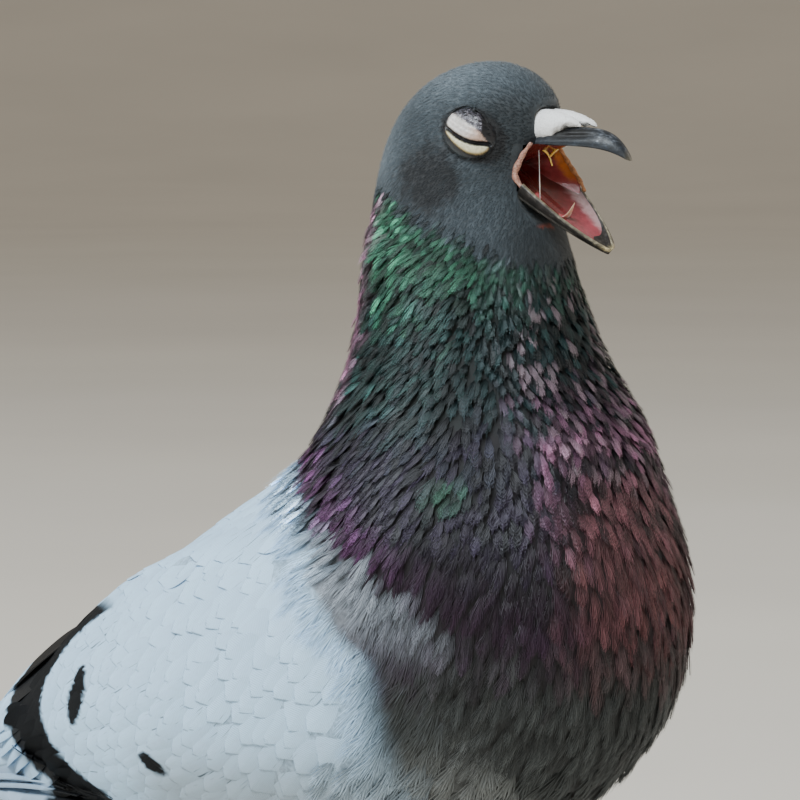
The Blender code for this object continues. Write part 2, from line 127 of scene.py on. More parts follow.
def to_linear(display: Array) -> Array:
    """Linear values of display values from 0 to 255."""
    part = np.clip(np.asarray(display, float) / 255.0, 0.0, 1.0)
    return np.where(part <= 0.04045, part / 12.92, ((part + 0.055) / 1.055) ** 2.4)


def smooth(low: float, high: float, value: Array) -> Array:
    """Share from 0 at low to 1 at high, with soft ends."""
    part = np.clip((value - low) / (high - low), 0.0, 1.0)
    return part * part * (3.0 - 2.0 * part)


def blend(under: Array, over: Array, share: Array) -> Array:
    """Rows of under, turned into over by the share of each row."""
    share = np.asarray(share)[:, None]
    return under * (1.0 - share) + np.asarray(over) * share


def layered(count: int, ground: Tint, *coats: tuple) -> Array:
    """Linear colours laid over each other in turn.

    Args:
        count: how many places take a colour.
        ground: the first colour, everywhere.
        *coats: pairs of a further colour and its share at each place.

    Returns:
        One colour for each place.
    """
    colours = np.tile(ground.linear, (count, 1))
    for tint, share in coats:
        colours = blend(colours, tint.linear, share)
    return colours


def unit(vectors: Array) -> Array:
    """Rows scaled to length one."""
    return vectors / np.maximum(np.linalg.norm(vectors, axis=-1, keepdims=True), 1e-9)


def unit_of(vector: tuple | Array) -> Array:
    """One vector, scaled to length one."""
    return unit(np.asarray(vector)[None, :])[0]


def ripple(points: Array, size: float, seed: int) -> Array:
    """A soft, repeatable unevenness from -1 to 1.

    Args:
        points: places in millimetres, one per row.
        size: width of one bump in millimetres.
        seed: which of many patterns.

    Returns:
        One value for each point.
    """
    turn = np.random.default_rng(seed)
    total = np.zeros(len(points))
    for octave in range(5):
        way = unit(turn.normal(size=(3, 3)))
        phase = turn.uniform(0, math.tau, 3)
        swing = points @ way.T * (math.tau / (size * 0.72 ** octave)) + phase
        total += np.sin(swing[:, 0] + 1.7 * np.sin(swing[:, 1])) * np.cos(swing[:, 2]) * 0.8 ** octave
    return np.clip(total / 2.0, -1.0, 1.0)


@dataclass(frozen=True)
class Bird:
    """Where the bird stands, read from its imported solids.

    Body places are (forward, left, depth) in millimetres from an upright line a little behind the
    middle of the eyes, with depth negative below the crown. Head places use the turned head's axes.
    """

    origin: Array
    ahead: Array
    aside: Array

    EYE_FORWARD = 9.0

    @classmethod
    def read(cls) -> "Bird":
        """The bird's axes, found from the eyes and the top of the head.

        Returns:
            The bird.
        """
        right, left = (centre_of(f"eye_{name}") for name in SIDES)
        aside = unit_of(left - right)
        ahead = np.cross(aside, (0.0, 0.0, 1.0))
        origin = (left + right) / 2.0 - ahead * cls.EYE_FORWARD * MM
        origin[2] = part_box("head")[1].z
        return cls(origin, ahead, aside)

    def body(self, points: Array) -> Array:
        """World places as (forward, left, depth) of the body."""
        away = (np.atleast_2d(points) - self.origin) / MM
        return np.stack((-away[:, 1], away[:, 0], away[:, 2]), axis=1)

    def head(self, points: Array) -> Array:
        """World places as (forward, left, depth) of the turned head."""
        away = (np.atleast_2d(points) - self.origin) / MM
        return np.stack((away @ self.ahead, away @ self.aside, away[:, 2]), axis=1)

    def from_body(self, places: Array) -> Array:
        """World places of (forward, left, depth) rows of the body."""
        places = np.atleast_2d(places)
        away = np.stack((places[:, 1], -places[:, 0], places[:, 2]), axis=1)
        return self.origin + away * MM

    def from_head(self, places: Array) -> Array:
        """World places of (forward, left, depth) rows of the turned head."""
        places = np.atleast_2d(places)
        up = np.array((0.0, 0.0, 1.0))
        away = places[:, :1] * self.ahead + places[:, 1:2] * self.aside + places[:, 2:] * up
        return self.origin + away * MM


def centre_of(node: str) -> Array:
    """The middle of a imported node's box."""
    low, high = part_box(node)
    return np.array((low + high) / 2.0)


# ---- meshes


def listed(owner: bpy.types.bpy_prop_collection, name: str, kind: type = np.int32, wide: int = 1) -> Array:
    """Reads one property of all elements of a mesh.

    Args:
        owner: the mesh's vertices, edges, faces or corners.
        name: the property's name.
        kind: the type of its numbers.
        wide: how many numbers each element has.

    Returns:
        The numbers, one after the other.
    """
    flat = np.empty(len(owner) * wide, kind)
    owner.foreach_get(name, flat)
    return flat


def vertex_places(mesh: Mesh) -> Array:
    """All vertex places of a mesh, one per row."""
    return listed(mesh.vertices, "co", np.float32, 3).reshape(-1, 3).astype(float)


def vertex_normals(mesh: Mesh) -> Array:
    """All vertex normals of a mesh, one per row."""
    return listed(mesh.vertex_normals, "vector", np.float32, 3).reshape(-1, 3).astype(float)


def set_places(mesh: Mesh, places: Array) -> None:
    """Moves all vertices of a mesh."""
    mesh.vertices.foreach_set("co", places.astype(np.float32).ravel())
    mesh.update()


def smooth_places(mesh: Mesh, rounds: int, share: float = 0.5) -> None:
    """Evens a mesh out by drawing each vertex towards its neighbours.

    Args:
        mesh: the mesh to change.
        rounds: how many times.
        share: how far each vertex goes each time.
    """
    pairs = listed(mesh.edges, "vertices", wide=2)
    one, two = pairs.reshape(-1, 2).T
    places = vertex_places(mesh)
    count = np.bincount(pairs, minlength=len(places))[:, None]
    for _ in range(rounds):
        total = np.zeros_like(places)
        for axis in range(3):
            total[:, axis] = np.bincount(one, places[two, axis], len(places))
            total[:, axis] += np.bincount(two, places[one, axis], len(places))
        places += (total / np.maximum(count, 1) - places) * share
    set_places(mesh, places)


def make_piece(name: str, mesh: Mesh, finishes: list[Material],
               nodes: tuple[str, ...] = ()) -> Piece:
    """Puts a finished mesh into the scene as a piece of the bird.

    Args:
        name: the piece's name.
        mesh: its mesh, in place.
        finishes: its materials, in the order of its faces' indices.
        nodes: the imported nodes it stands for.

    Returns:
        The new object.
    """
    mesh.name = name
    for finish in finishes:
        mesh.materials.append(finish)
    mesh.shade_smooth()
    piece = bpy.data.objects.new(name, mesh)
    bpy.context.scene.collection.objects.link(piece)
    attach(piece, BODY)
    if nodes:
        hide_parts(*nodes)
    LOG.info("%s: %d faces", name, len(mesh.polygons))
    return piece


def shaped(around: int, along: int, place: Form) -> Maker:
    """A grid bent into a form.

    Args:
        around: faces across the form.
        along: faces along it.
        place: gives the world place for a share across and a share along, both from 0 to 1.

    Returns:
        The mesh in the making, with its doubles merged and its normals outwards.
    """
    maker = bmesh.new()
    bmesh.ops.create_grid(maker, x_segments=around, y_segments=along, size=0.5, calc_uvs=True)
    vane = maker.loops.layers.uv.verify()
    for face in maker.faces:
        for corner in face.loops:
            corner[vane].uv = (corner.vert.co.x + 0.5, corner.vert.co.y + 0.5)
    for vert in maker.verts:
        vert.co = place(vert.co.x + 0.5, vert.co.y + 0.5)
    bmesh.ops.remove_doubles(maker, verts=maker.verts, dist=1e-5)
    bmesh.ops.recalc_face_normals(maker, faces=maker.faces)
    return maker


def to_mesh(maker: Maker, name: str) -> Mesh:
    """Turns a mesh in the making into a finished one and frees it.

    Args:
        maker: the mesh in the making.
        name: the new mesh's name.

    Returns:
        The new mesh.
    """
    mesh = bpy.data.meshes.new(name)
    maker.to_mesh(mesh)
    maker.free()
    return mesh


def paint(mesh: Mesh, colours: Array) -> None:
    """Stores one linear colour for each vertex, in place of any stored before.

    Args:
        mesh: the mesh to colour.
        colours: one linear colour for each vertex.
    """
    tints = mesh.color_attributes
    tint = tints.get(TINT) or tints.new(TINT, "FLOAT_COLOR", "POINT")
    full = np.ones((len(colours), 4), np.float32)
    full[:, :3] = colours
    tint.data.foreach_set("color", full.ravel())


# ---- the unwrap of the skin


@dataclass(frozen=True)
class Unwrap:
    """Lays the skin's own shape out flat: round and along the spine, with each wing aside."""

    bird: Bird
    patch: float = 0.003

    SPINE = np.array([(9, 4), (4, -14), (3, -30), (4, -46), (8, -66), (2, -92), (-22, -118), (-58, -132),
                      (-96, -147), (-132, -156)], float)
    TRUNK = (0.01, 0.01, 0.60, 0.97)
    WINGS = {-1: (0.64, 0.01, 0.16, 0.55), 1: (0.82, 0.01, 0.16, 0.55)}

    def trunk(self, points: Array) -> Array:
        """Places on the flat layout of head, neck and trunk.

        Args:
            points: world places on the skin.

        Returns:
            The layout's two shares for each point: round the spine and along it.
        """
        places = self.bird.body(points)
        flat = places[:, [0, 2]]
        steps = np.diff(self.SPINE, axis=0)
        lengths = np.linalg.norm(steps, axis=1)
        starts = np.concatenate(([0.0], np.cumsum(lengths)[:-1]))
        best = np.full(len(flat), np.inf)
        along = np.zeros(len(flat))
        across = np.zeros(len(flat))
        for start, step, length, before in zip(self.SPINE[:-1], steps, lengths, starts):
            way = step / length
            part = np.clip((flat - start) @ way, 0.0, length)
            away = flat - start - part[:, None] * way
            reach = np.linalg.norm(away, axis=1)
            nearer = reach < best
            best = np.where(nearer, reach, best)
            along = np.where(nearer, before + part, along)
            across = np.where(nearer, away @ np.array((way[1], -way[0])), across)
        turn = (np.arctan2(places[:, 1], -across) / math.tau + 0.5) % 1.0
        return self._in_tile(self.TRUNK, turn, along / (starts[-1] + lengths[-1]))

    def wing(self, points: Array, side: float) -> Array:
        """Places on the flat layout of a folded wing or the tail's half."""
        places = self.bird.body(points)
        return self._in_tile(self.WINGS[int(side)], (places[:, 2] + 185) / 130, (places[:, 0] + 215) / 260)

    @staticmethod
    def _in_tile(tile: tuple, across: Array, along: Array) -> Array:
        """Shares across and along, moved into a tile of the layout."""
        low_u, low_v, wide, high = tile
        across, along = np.clip(across, 0.01, 0.99), np.clip(along, 0.01, 0.99)
        return np.stack((low_u + across * wide, low_v + along * high), axis=1)


# ---- the lie and the markings


@dataclass(frozen=True)
class Lie:
    """The way the feathers lie, blended between named places on the bird."""

    bird: Bird

    GUIDES = {
        "forehead": ((21, 5, -6), (-1, 0, 0.55)),
        "crown": ((6, 6, -2), (-1, 0.1, -0.1)),
        "nape": ((-14, 7, -14), (-0.35, 0, -1)),
        "lores": ((20, 7, -15), (-1, 0.3, 0.1)),
        "above eye": ((10, 11, -7), (-1, 0.1, 0)),
        "behind eye": ((0, 13, -15), (-1, 0, -0.35)),
        "cheek": ((14, 13, -23), (-1, 0.1, -0.45)),
        "ear": ((-1, 14, -24), (-0.75, 0, -0.8)),
        "chin": ((24, 5, -33), (-0.75, 0, -0.7)),
        "jaw": ((13, 13, -31), (-0.55, 0, -0.9)),
        "throat": ((26, 8, -45), (-0.05, 0, -1)),
        "neck side": ((6, 22, -48), (-0.42, 0, -1)),
        "neck back": ((-18, 10, -48), (-0.35, 0, -1)),
        "neck front": ((34, 12, -66), (0.35, 0.1, -1)),
        "neck root side": ((6, 32, -76), (-0.5, 0.1, -1)),
        "mantle top": ((-28, 14, -82), (-1, 0.1, -0.75)),
        "breast front": ((52, 12, -108), (0, 0, -1)),
        "breast side": ((26, 38, -104), (-0.3, 0, -1)),
        "shoulder": ((-8, 40, -104), (-0.8, 0, -0.8)),
        "lower breast": ((42, 16, -138), (-0.55, 0, -1)),
        "breast low side": ((16, 36, -138), (-0.55, 0, -0.85)),
        "belly": ((-10, 12, -164), (-1, 0, -0.05)),
        "flank": ((-40, 28, -150), (-1, 0, -0.15)),
        "back": ((-66, 16, -101), (-1, 0, -0.4)),
        "rump": ((-108, 12, -131), (-1, 0, -0.38)),
        "undertail": ((-100, 8, -160), (-1, 0, 0.05)),
        "wing front": ((8, 40, -128), (-0.8, 0, -0.75)),
        "wing": ((-50, 42, -132), (-1, 0, -0.42)),
        "wing end": ((-120, 22, -156), (-1, -0.15, -0.4)),
        "thigh": ((-18, 20, -172), (-0.25, 0, -1)),
    }

    def at(self, points: Array, normals: Array, stray: Array) -> Array:
        """The lie of the coat as unit vectors along the skin.

        Args:
            points: world places on the skin.
            normals: the skin's normals there.
            stray: angle in radians by which each feather leaves the common lie.

        Returns:
            One unit vector for each point.
        """
        places = self.bird.body(points)
        mirror = np.where(places[:, 1] < 0, -1.0, 1.0)
        places[:, 1] *= mirror
        total = np.zeros_like(places)
        for spot, way in self.GUIDES.values():
            near = np.sum((places - np.array(spot)) ** 2, axis=1) + 20.0
            total += unit_of(way) * (near ** -2.2)[:, None]
        total[:, 1] *= mirror
        ways = unit(np.stack((total[:, 1], -total[:, 0], total[:, 2]), axis=1))
        ways = unit(ways - np.sum(ways * normals, axis=1, keepdims=True) * normals)
        side = np.cross(normals, ways)
        return ways * np.cos(stray)[:, None] + side * np.sin(stray)[:, None]


class Plumage:
    """The bird's markings, the same for the skin and the feathers over it, with painted sheen, light and
    shadow in places.
    """

    CROWN = to_linear([120, 134, 144])
    FACE = to_linear([72, 83, 91])
    LORES = to_linear([48, 55, 60])
    EAR = to_linear([33, 35, 39])
    THROAT = to_linear([42, 48, 51])
    PALE_GLINT = to_linear([168, 146, 158])
    FLESH = to_linear([176, 74, 46])
    LID_RIM = to_linear([24, 23, 26])
    GREEN = to_linear([50, 100, 78])
    TEAL = to_linear([16, 38, 44])
    PURPLE = to_linear([36, 29, 47])
    MAUVE = to_linear([178, 122, 156])
    MAGENTA = to_linear([92, 50, 92])
    PLUM = to_linear([31, 22, 30])
    ROSE_BROWN = to_linear([132, 84, 84])
    SLATE = to_linear([62, 66, 66])
    DEEP = to_linear([16, 20, 24])
    STRIP = to_linear([142, 150, 160])
    WHITE = to_linear([192, 226, 254])
    ASH = to_linear([168, 176, 186])
    SHADOW_GREY = to_linear([150, 154, 153])
    BLACK = to_linear([19, 21, 24])

    def __init__(self, bird: Bird) -> None:
        """Keeps the axes that the markings are placed by."""
        self.bird = bird

    @staticmethod
    def round_eye(head: Array) -> Array:
        """Distance from the eye's middle for head places, 1 at the edge of the lids.

        Args:
            head: head places, one per row.

        Returns:
            One distance for each place.
        """
        ahead, above = 0.83 * (head[:, 0] - 9.9), head[:, 2] + 14.8
        along, across = 0.707 * (ahead - above), 0.707 * (ahead + above)
        return np.hypot((along - 0.5) / 5.2, across / 3.9)

    @staticmethod
    def band_width(ahead: Array) -> Array:
        """Width of the soft grey band between the collar and the wing."""
        return 2.5 + 10.0 * smooth(-12.0, 9.0, ahead)

    @staticmethod
    def bar_edge(depth: Array) -> Array:
        """Forward place of the wing bar's front edge at a depth."""
        return -89.0 + 0.062 * np.minimum(np.abs(depth + 131.6), 19.0) ** 2

    @staticmethod
    def border(ahead: Array) -> Array:
        """Depth at which the head's down gives way to the neck's hackles."""
        return -28.5 - 0.42 * np.maximum(ahead + 8.0, 0.0)

    @staticmethod
    def crease(ahead: Array) -> Array:
        """Depth of the fold where the hackles of the throat overhang those of the neck's root."""
        return -62.0 - 0.85 * np.maximum(ahead - 20.0, 0.0)

    @staticmethod
    def collar(places: Array) -> Array:
        """Height in millimetres above the line where the dark collar meets the pale wing."""
        ahead = np.minimum(places[:, 0], 30.0)
        return places[:, 2] + 81.0 + 0.62 * (ahead + 24.0)

    def at(self, points: Array) -> Array:
        """Linear colours of the plumage at world places.

        Args:
            points: world places on the skin.

        Returns:
            One colour for each point.
        """
        places = self.bird.body(points)
        ahead, depth = places[:, 0], places[:, 2]
        wide = np.abs(places[:, 1])
        soft = ripple(places, 9.0, 3)
        fine = ripple(places, 3.0, 4)
        low = depth + 2.0 * soft
        colour = np.tile(self.FACE, (len(places), 1))
        colour = blend(colour, self.CROWN, 0.9 * smooth(-13, -1, low) * smooth(24, 4, ahead))
        colour = blend(colour, self.CROWN, 0.75 * smooth(-3, -13, ahead) * smooth(-30, -20, low))
        lores = smooth(11, 5, np.hypot(ahead - 18.5, depth + 15.0))
        colour = blend(colour, self.LORES, 0.85 * lores)
        head = self.bird.head(points)
        ear = np.hypot((head[:, 0] - 1.6) * 0.85, 0.85 * (depth + 24.3))
        ear = smooth(8.8, 3.6, ear + 1.3 * fine + 1.5 * soft)
        colour = blend(colour, self.EAR, 0.9 * ear)
        colour = blend(colour, self.THROAT, 0.8 * smooth(15.0, 24.0, head[:, 0]) * smooth(-26.0, -31.0, low))
        jaw = np.abs(depth + 33.2 + 0.38 * (head[:, 0] - 23.6)) + 0.3 * fine
        jaw = smooth(1.0, 0.5, jaw) * smooth(4.2, 3.2, np.abs(head[:, 0] - 26.0)) * (head[:, 1] < 0.0)
        colour = blend(colour, self.FLESH, jaw)
        ring = self.round_eye(head) + 0.10 * ripple(head, 1.2, 6) - 0.12 * smooth(9.0, 15.0, head[:, 0])
        colour = blend(colour, self.LID_RIM, 0.9 * smooth(1.30, 1.05, ring) * (np.abs(head[:, 1]) > 6.0))
        colour = self._neck(colour, ahead, low, wide, soft, fine)
        colour = self._breast(colour, ahead, low, wide, soft, fine)
        return self._back(colour, places, soft, fine)

    def _neck(self, colour: Array, ahead: Array, low: Array, wide: Array, soft: Array, fine: Array) -> Array:
        """The green and teal hackles, with their own rosy iridescence painted strong as sheen at the back
        edge and in front, and painted light high on the back of the neck.

        Args:
            colour: the colours so far.
            ahead: forward places.
            low: uneven depths.
            wide: distances from the middle.
            soft: a wide ripple.
            fine: a narrow one.

        Returns:
            The colours with the neck in.
        """
        into = smooth(0.5, -3.0, low - self.border(ahead) + 1.5 * fine)
        colour = blend(colour, self.GREEN, into)
        colour = blend(colour, self.TEAL, smooth(-42, -56, low + 6.0 * soft) * 0.85)
        colour = blend(colour, self.TEAL, into * smooth(10, 26, ahead) * 0.6)
        colour = blend(colour, self.DEEP, into * 0.45 * smooth(0.1, 0.7, fine))
        lit = into * smooth(4.0, -8.0, ahead) * smooth(-54.0, -42.0, low)
        colour = colour * (1.0 + 0.7 * lit)[:, None]
        # The neck's own rosy iridescence, painted strong along the nape as sheen where the feathers are seen
        # at a grazing angle.
        nape = into * smooth(-7.5, -11.5, ahead + 1.5 * soft) * smooth(-76, -62, low)
        colour = blend(colour, self.MAUVE, nape * 0.85 * smooth(-0.9, 0.0, fine))
        colour = blend(colour, self.PURPLE, smooth(-68, -80, low + 5.0 * soft))
        patch = smooth(1.25, 0.45, np.hypot((ahead - 23.0) / 4.6, (low + 86.0) / 4.0) + 0.15 * fine)
        colour = blend(colour, self.GREEN, 0.7 * patch)
        # The neck's own rosy iridescence, painted strong at the front as sheen where the feathers are seen at
        # a grazing angle.
        front_sheen = smooth(1.1, 0.7, np.hypot((ahead - 43.0) / 7.0, (low + 66.0) / 5.0))
        front_sheen = front_sheen * smooth(16.0, 10.0, wide)
        lower = smooth(1.1, 0.6, np.hypot((ahead - 40.0) / 5.0, (low + 76.0) / 3.5))
        front_sheen = np.maximum(front_sheen, 0.7 * lower)
        colour = blend(colour, self.MAUVE, 0.9 * front_sheen)
        # More rosy sheen painted in front, partly the feathers' own iridescence.
        rosy = smooth(24, 34, ahead + 3.0 * soft) * smooth(-58, -68, low) * smooth(26.0, 16.0, wide)
        return blend(colour, self.MAUVE, rosy * 0.40 * smooth(-0.3, 0.6, fine))

    def _breast(self, colour: Array, ahead: Array, low: Array, wide: Array, soft: Array,
                fine: Array) -> Array:
        """The plum breast, rosy brown in front, and the slate belly.

        Args:
            colour: the colours so far.
            ahead: forward places.
            low: uneven depths.
            wide: distances from the middle.
            soft: a wide ripple.
            fine: a narrow one.

        Returns:
            The colours with the breast and the belly in.
        """
        over = np.minimum(ahead, 30.0) * 0.62 + low + 95.88
        edge = smooth(13.0, 3.0, over) * smooth(-60, -78, low)
        colour = blend(colour, self.MAGENTA, edge * 0.8)
        colour = blend(colour, self.PLUM, smooth(-92, -104, low + 3.0 * soft) * 0.8)
        front = smooth(36, 44, ahead) * smooth(-76, -90, low) * smooth(25.0, 12.0, wide + 3.0 * soft)
        colour = blend(colour, self.ROSE_BROWN, front * (0.55 + 0.3 * fine))
        return blend(colour, self.SLATE, smooth(-112, -128, low + 4.0 * soft + 2.0 * fine))

    def _back(self, colour: Array, places: Array, soft: Array, fine: Array) -> Array:
        """The pale mantle, wings, rump and vent behind the collar, with painted shadow low on the folded
        wing.

        Args:
            colour: the colours so far.
            places: body places.
            soft: a wide ripple.
            fine: a narrow one.

        Returns:
            The colours with the pale back in.
        """
        ahead, depth = places[:, 0], places[:, 2]
        over = self.collar(places) + 1.2 * fine
        behind = smooth(1.0, -2.0, over) * smooth(30.0, 24.0, ahead)
        colour = blend(colour, self.STRIP, behind * smooth(-122.0, -104.0, depth))
        colour = blend(colour, self.WHITE, behind * 0.8 * smooth(0.0, -16.0, ahead))
        under = smooth(-151.0, -156.0, depth + 0.08 * (ahead + 60.0) + 1.5 * soft)
        wide = self.band_width(ahead)
        pale = behind * smooth(0.0, -4.0, over + wide + 1.5 * soft) * (1.0 - under)
        colour = blend(colour, self.WHITE, pale * smooth(14.0, 6.0, ahead))
        colour = blend(colour, self.ASH, pale * 0.10 * smooth(0.0, 0.9, fine))
        # Painted shadow low on the folded wing, which turns away from the sky.
        shadow = pale * smooth(-130.0, -148.0, depth) * smooth(-62.0, -40.0, ahead)
        colour = blend(colour, self.SHADOW_GREY, 0.6 * shadow)
        colour = blend(colour, self.ASH, smooth(-30.0, -80.0, ahead) * under * 0.5)
        colour = blend(colour, self.ASH, smooth(-118.0, -126.0, ahead) * smooth(-140.0, -146.0, depth))
        return self._bars(colour, places, fine)

    def _bars(self, colour: Array, places: Array, fine: Array) -> Array:
        """The black bars across the wings and the tail.

        Args:
            colour: the colours so far.
            places: body places.
            fine: a narrow ripple.

        Returns:
            The colours with the bars in.
        """
        ahead, wide, depth = places[:, 0], np.abs(places[:, 1]), places[:, 2]
        edge = self.bar_edge(depth) + 0.8 * fine
        span = 19.0 - 10.0 * smooth(-124.0, -112.0, depth)
        bar = smooth(0.5, -0.5, ahead - edge) * smooth(-0.5, 0.5, ahead - edge + span)
        bar = bar * smooth(7.0, 10.0, wide) * smooth(-158.0, -154.0, depth) * smooth(-111.0, -114.0, depth)
        spot = np.hypot((ahead + 72.0 - 0.20 * (depth + 130.8)) / 3.0, (depth + 130.8) / 6.2) + 0.12 * fine
        spot = smooth(1.08, 0.96, spot)
        fleck = np.hypot((ahead + 46.0) / 3.6, (depth + 142.2 + 0.35 * (ahead + 46)) / 1.9) + 0.15 * fine
        fleck = smooth(1.1, 0.9, fleck)
        dark = np.maximum(np.maximum(bar, spot), fleck) * smooth(12.0, 18.0, wide + 8.0 * bar)
        colour = blend(colour, self.BLACK, dark)
        reach = np.hypot(ahead + 120.8, depth + 145.0)
        band = smooth(70.0, 74.0, reach + fine) * smooth(91.5, 89.5, reach) * smooth(-166.0, -172.0, depth)
        tail = band * (places[:, 0] < -150.0) * (depth < self.tail_top(ahead))
        return blend(colour, self.BLACK, tail)

    @staticmethod
    def tail_top(ahead: Array) -> Array:
        """Depth that parts the tail, below, from the wing tips above it."""
        return -139.0 + 0.51 * (ahead + 120.8) - 4.5


# ---- finishes


class Nodes:
    """A new material's nodes, with short ways to add and join them."""

    def __init__(self, name: str) -> None:
        """Starts a material with its shader and its output."""
        self.material = bpy.data.materials.new(name)
        self.material.use_nodes = True
        self.tree = self.material.node_tree
        self.tree.nodes.clear()
        self.output = self.tree.nodes.new("ShaderNodeOutputMaterial")
        self.shader = self.tree.nodes.new("ShaderNodeBsdfPrincipled")
        self.join(self.shader.outputs["BSDF"], self.output.inputs["Surface"])

    def add(self, kind: str, **values) -> bpy.types.Node:
        """A node of a kind, with values for its properties and sockets.

        Args:
            kind: the node's type without its "ShaderNode".
            **values: properties, or sockets with their spaces as underscores.

        Returns:
            The node.
        """
        node = self.tree.nodes.new("ShaderNode" + kind)
        for name, value in values.items():
            if hasattr(node, name):
                setattr(node, name, value)
            else:
                self.feed(value, node.inputs[name.replace("_", " ")])
        return node

    def join(self, source: Socket, target: Socket) -> None:
        """Links an output to an input."""
        self.tree.links.new(source, target)

    def feed(self, value: Socket | float | tuple, socket: Socket) -> None:
        """Gives a socket a number, a colour or another node's output."""
        if isinstance(value, Socket):
            self.join(value, socket)
        else:
            socket.default_value = value

    def maths(self, operation: str, first: Socket | float, second: Socket | float = 0.0) -> Socket:
        """The result of a sum on two values.

        Args:
            operation: the sum's name in a Math node.
            first: a number or a node's output.
            second: another one.

        Returns:
            The node's output.
        """
        node = self.tree.nodes.new("ShaderNodeMath")
        node.operation = operation
        self.feed(first, node.inputs[0])
        self.feed(second, node.inputs[1])
        return node.outputs[0]

    def mixed(self, share: Socket | float, first: Socket, second: Socket | tuple,
              mode: str = "MIX") -> Socket:
        """The mix of two colours.

        Args:
            share: how much of the second shows.
            first: the colour below.
            second: the colour above.
            mode: how they mix.

        Returns:
            The node's colour output.
        """
        node = self.tree.nodes.new("ShaderNodeMix")
        node.data_type = "RGBA"
        node.blend_type = mode
        self.feed(share, node.inputs[0])
        self.feed(first, node.inputs[6])
        self.feed(second, node.inputs[7])
        return node.outputs[2]

    def ramp(self, share: Socket, *stops: tuple) -> Socket:
        """A colour ramp read at a share.

        Args:
            share: the value it reads.
            *stops: pairs of a place and a linear colour or grey.

        Returns:
            The ramp's colour output.
        """
        node = self.tree.nodes.new("ShaderNodeValToRGB")
        band = node.color_ramp
        while len(band.elements) < len(stops):
            band.elements.new(0.5)
        for element, (place, colour) in zip(band.elements, stops):
            element.position = place
            grey = (colour, colour, colour) if isinstance(colour, (int, float)) else colour
            element.color = (*grey, 1.0)
        self.feed(share, node.inputs[0])
        return node.outputs[0]

    def noise(self, scale: float, detail: float = 3.0, where: Socket | None = None,
              rough: float = 0.5) -> Socket:
        """Noise in the object's own space.

        Args:
            scale: bumps in a metre.
            detail: how many finer layers it has.
            where: the place it reads, the object's own when not given.
            rough: how strong the finer layers are.

        Returns:
            The noise, from 0 to 1.
        """
        node = self.add("TexNoise", Scale=scale, Detail=detail, Roughness=rough)
        place = where or self.add("TexCoord").outputs["Object"]
        self.join(place, node.inputs["Vector"])
        return node.outputs["Fac"]

    def bump(self, height: Socket, strength: float, distance: float) -> None:
        """Raises the shader's surface by a height.

        Args:
            height: the height, from 0 to 1.
            strength: how much of it shows.
            distance: how far the highest spot rises, in millimetres.
        """
        node = self.add("Bump", Strength=strength, Distance=distance * MM)
        self.feed(height, node.inputs["Height"])
        self.join(node.outputs["Normal"], self.shader.inputs["Normal"])

    def tinted(self, *shades: Socket) -> Socket:
        """The piece's own tint, darkened or lit by each shade in turn."""
        colour = self.add("Attribute", attribute_name=TINT).outputs["Color"]
        for shade in shades:
            colour = self.mixed(1.0, colour, shade, "MULTIPLY")
        return colour

    def settle(self, **values) -> Material:
        """Sets the shader's own sockets and gives the material."""
        for name, value in values.items():
            self.feed(value, self.shader.inputs[name.replace("_", " ")])
        return self.material


@dataclass(frozen=True)
class DownFinish:
    """Short feathers seen as skin: the markings, broken up by fine strands."""

    name: str = "Short plumage"
    strand: float = 900.0
    darken: float = 0.72

    def make(self) -> Material:
        """The material."""
        nodes = Nodes(self.name)
        strands = nodes.noise(self.strand, 4.0, rough=0.65)
        patches = nodes.ramp(nodes.noise(220.0, 2.0), (0.3, self.darken), (0.7, 1.0))
        colour = nodes.tinted(nodes.ramp(strands, (0.3, 0.45), (0.7, 1.0)), patches)
        nodes.bump(strands, 0.35, 0.25)
        return nodes.settle(Base_Color=colour, Roughness=0.75, Sheen_Weight=0.15, Sheen_Roughness=0.5)


@dataclass(frozen=True)
class ScutedFinish:
    """The scaled, red skin of the feet."""

    name: str = "Scaled foot skin"

    def make(self) -> Material:
        """The material."""
        nodes = Nodes(self.name)
        cells = nodes.add("TexVoronoi", feature="DISTANCE_TO_EDGE", Scale=900.0)
        nodes.join(nodes.add("TexCoord").outputs["Object"], cells.inputs["Vector"])
        groove = nodes.ramp(cells.outputs["Distance"], (0.02, 0.0), (0.16, 1.0))
        tone = nodes.ramp(nodes.noise(260.0), (0.3, srgb(120, 44, 46)), (0.7, srgb(176, 84, 82)))
        colour = nodes.mixed(nodes.ramp(groove, (0.0, 0.65), (1.0, 0.0)), tone, (*srgb(88, 40, 42), 1.0))
        nodes.bump(groove, 0.5, 0.3)
        return nodes.settle(Base_Color=colour, Roughness=0.5, Specular_IOR_Level=0.4)


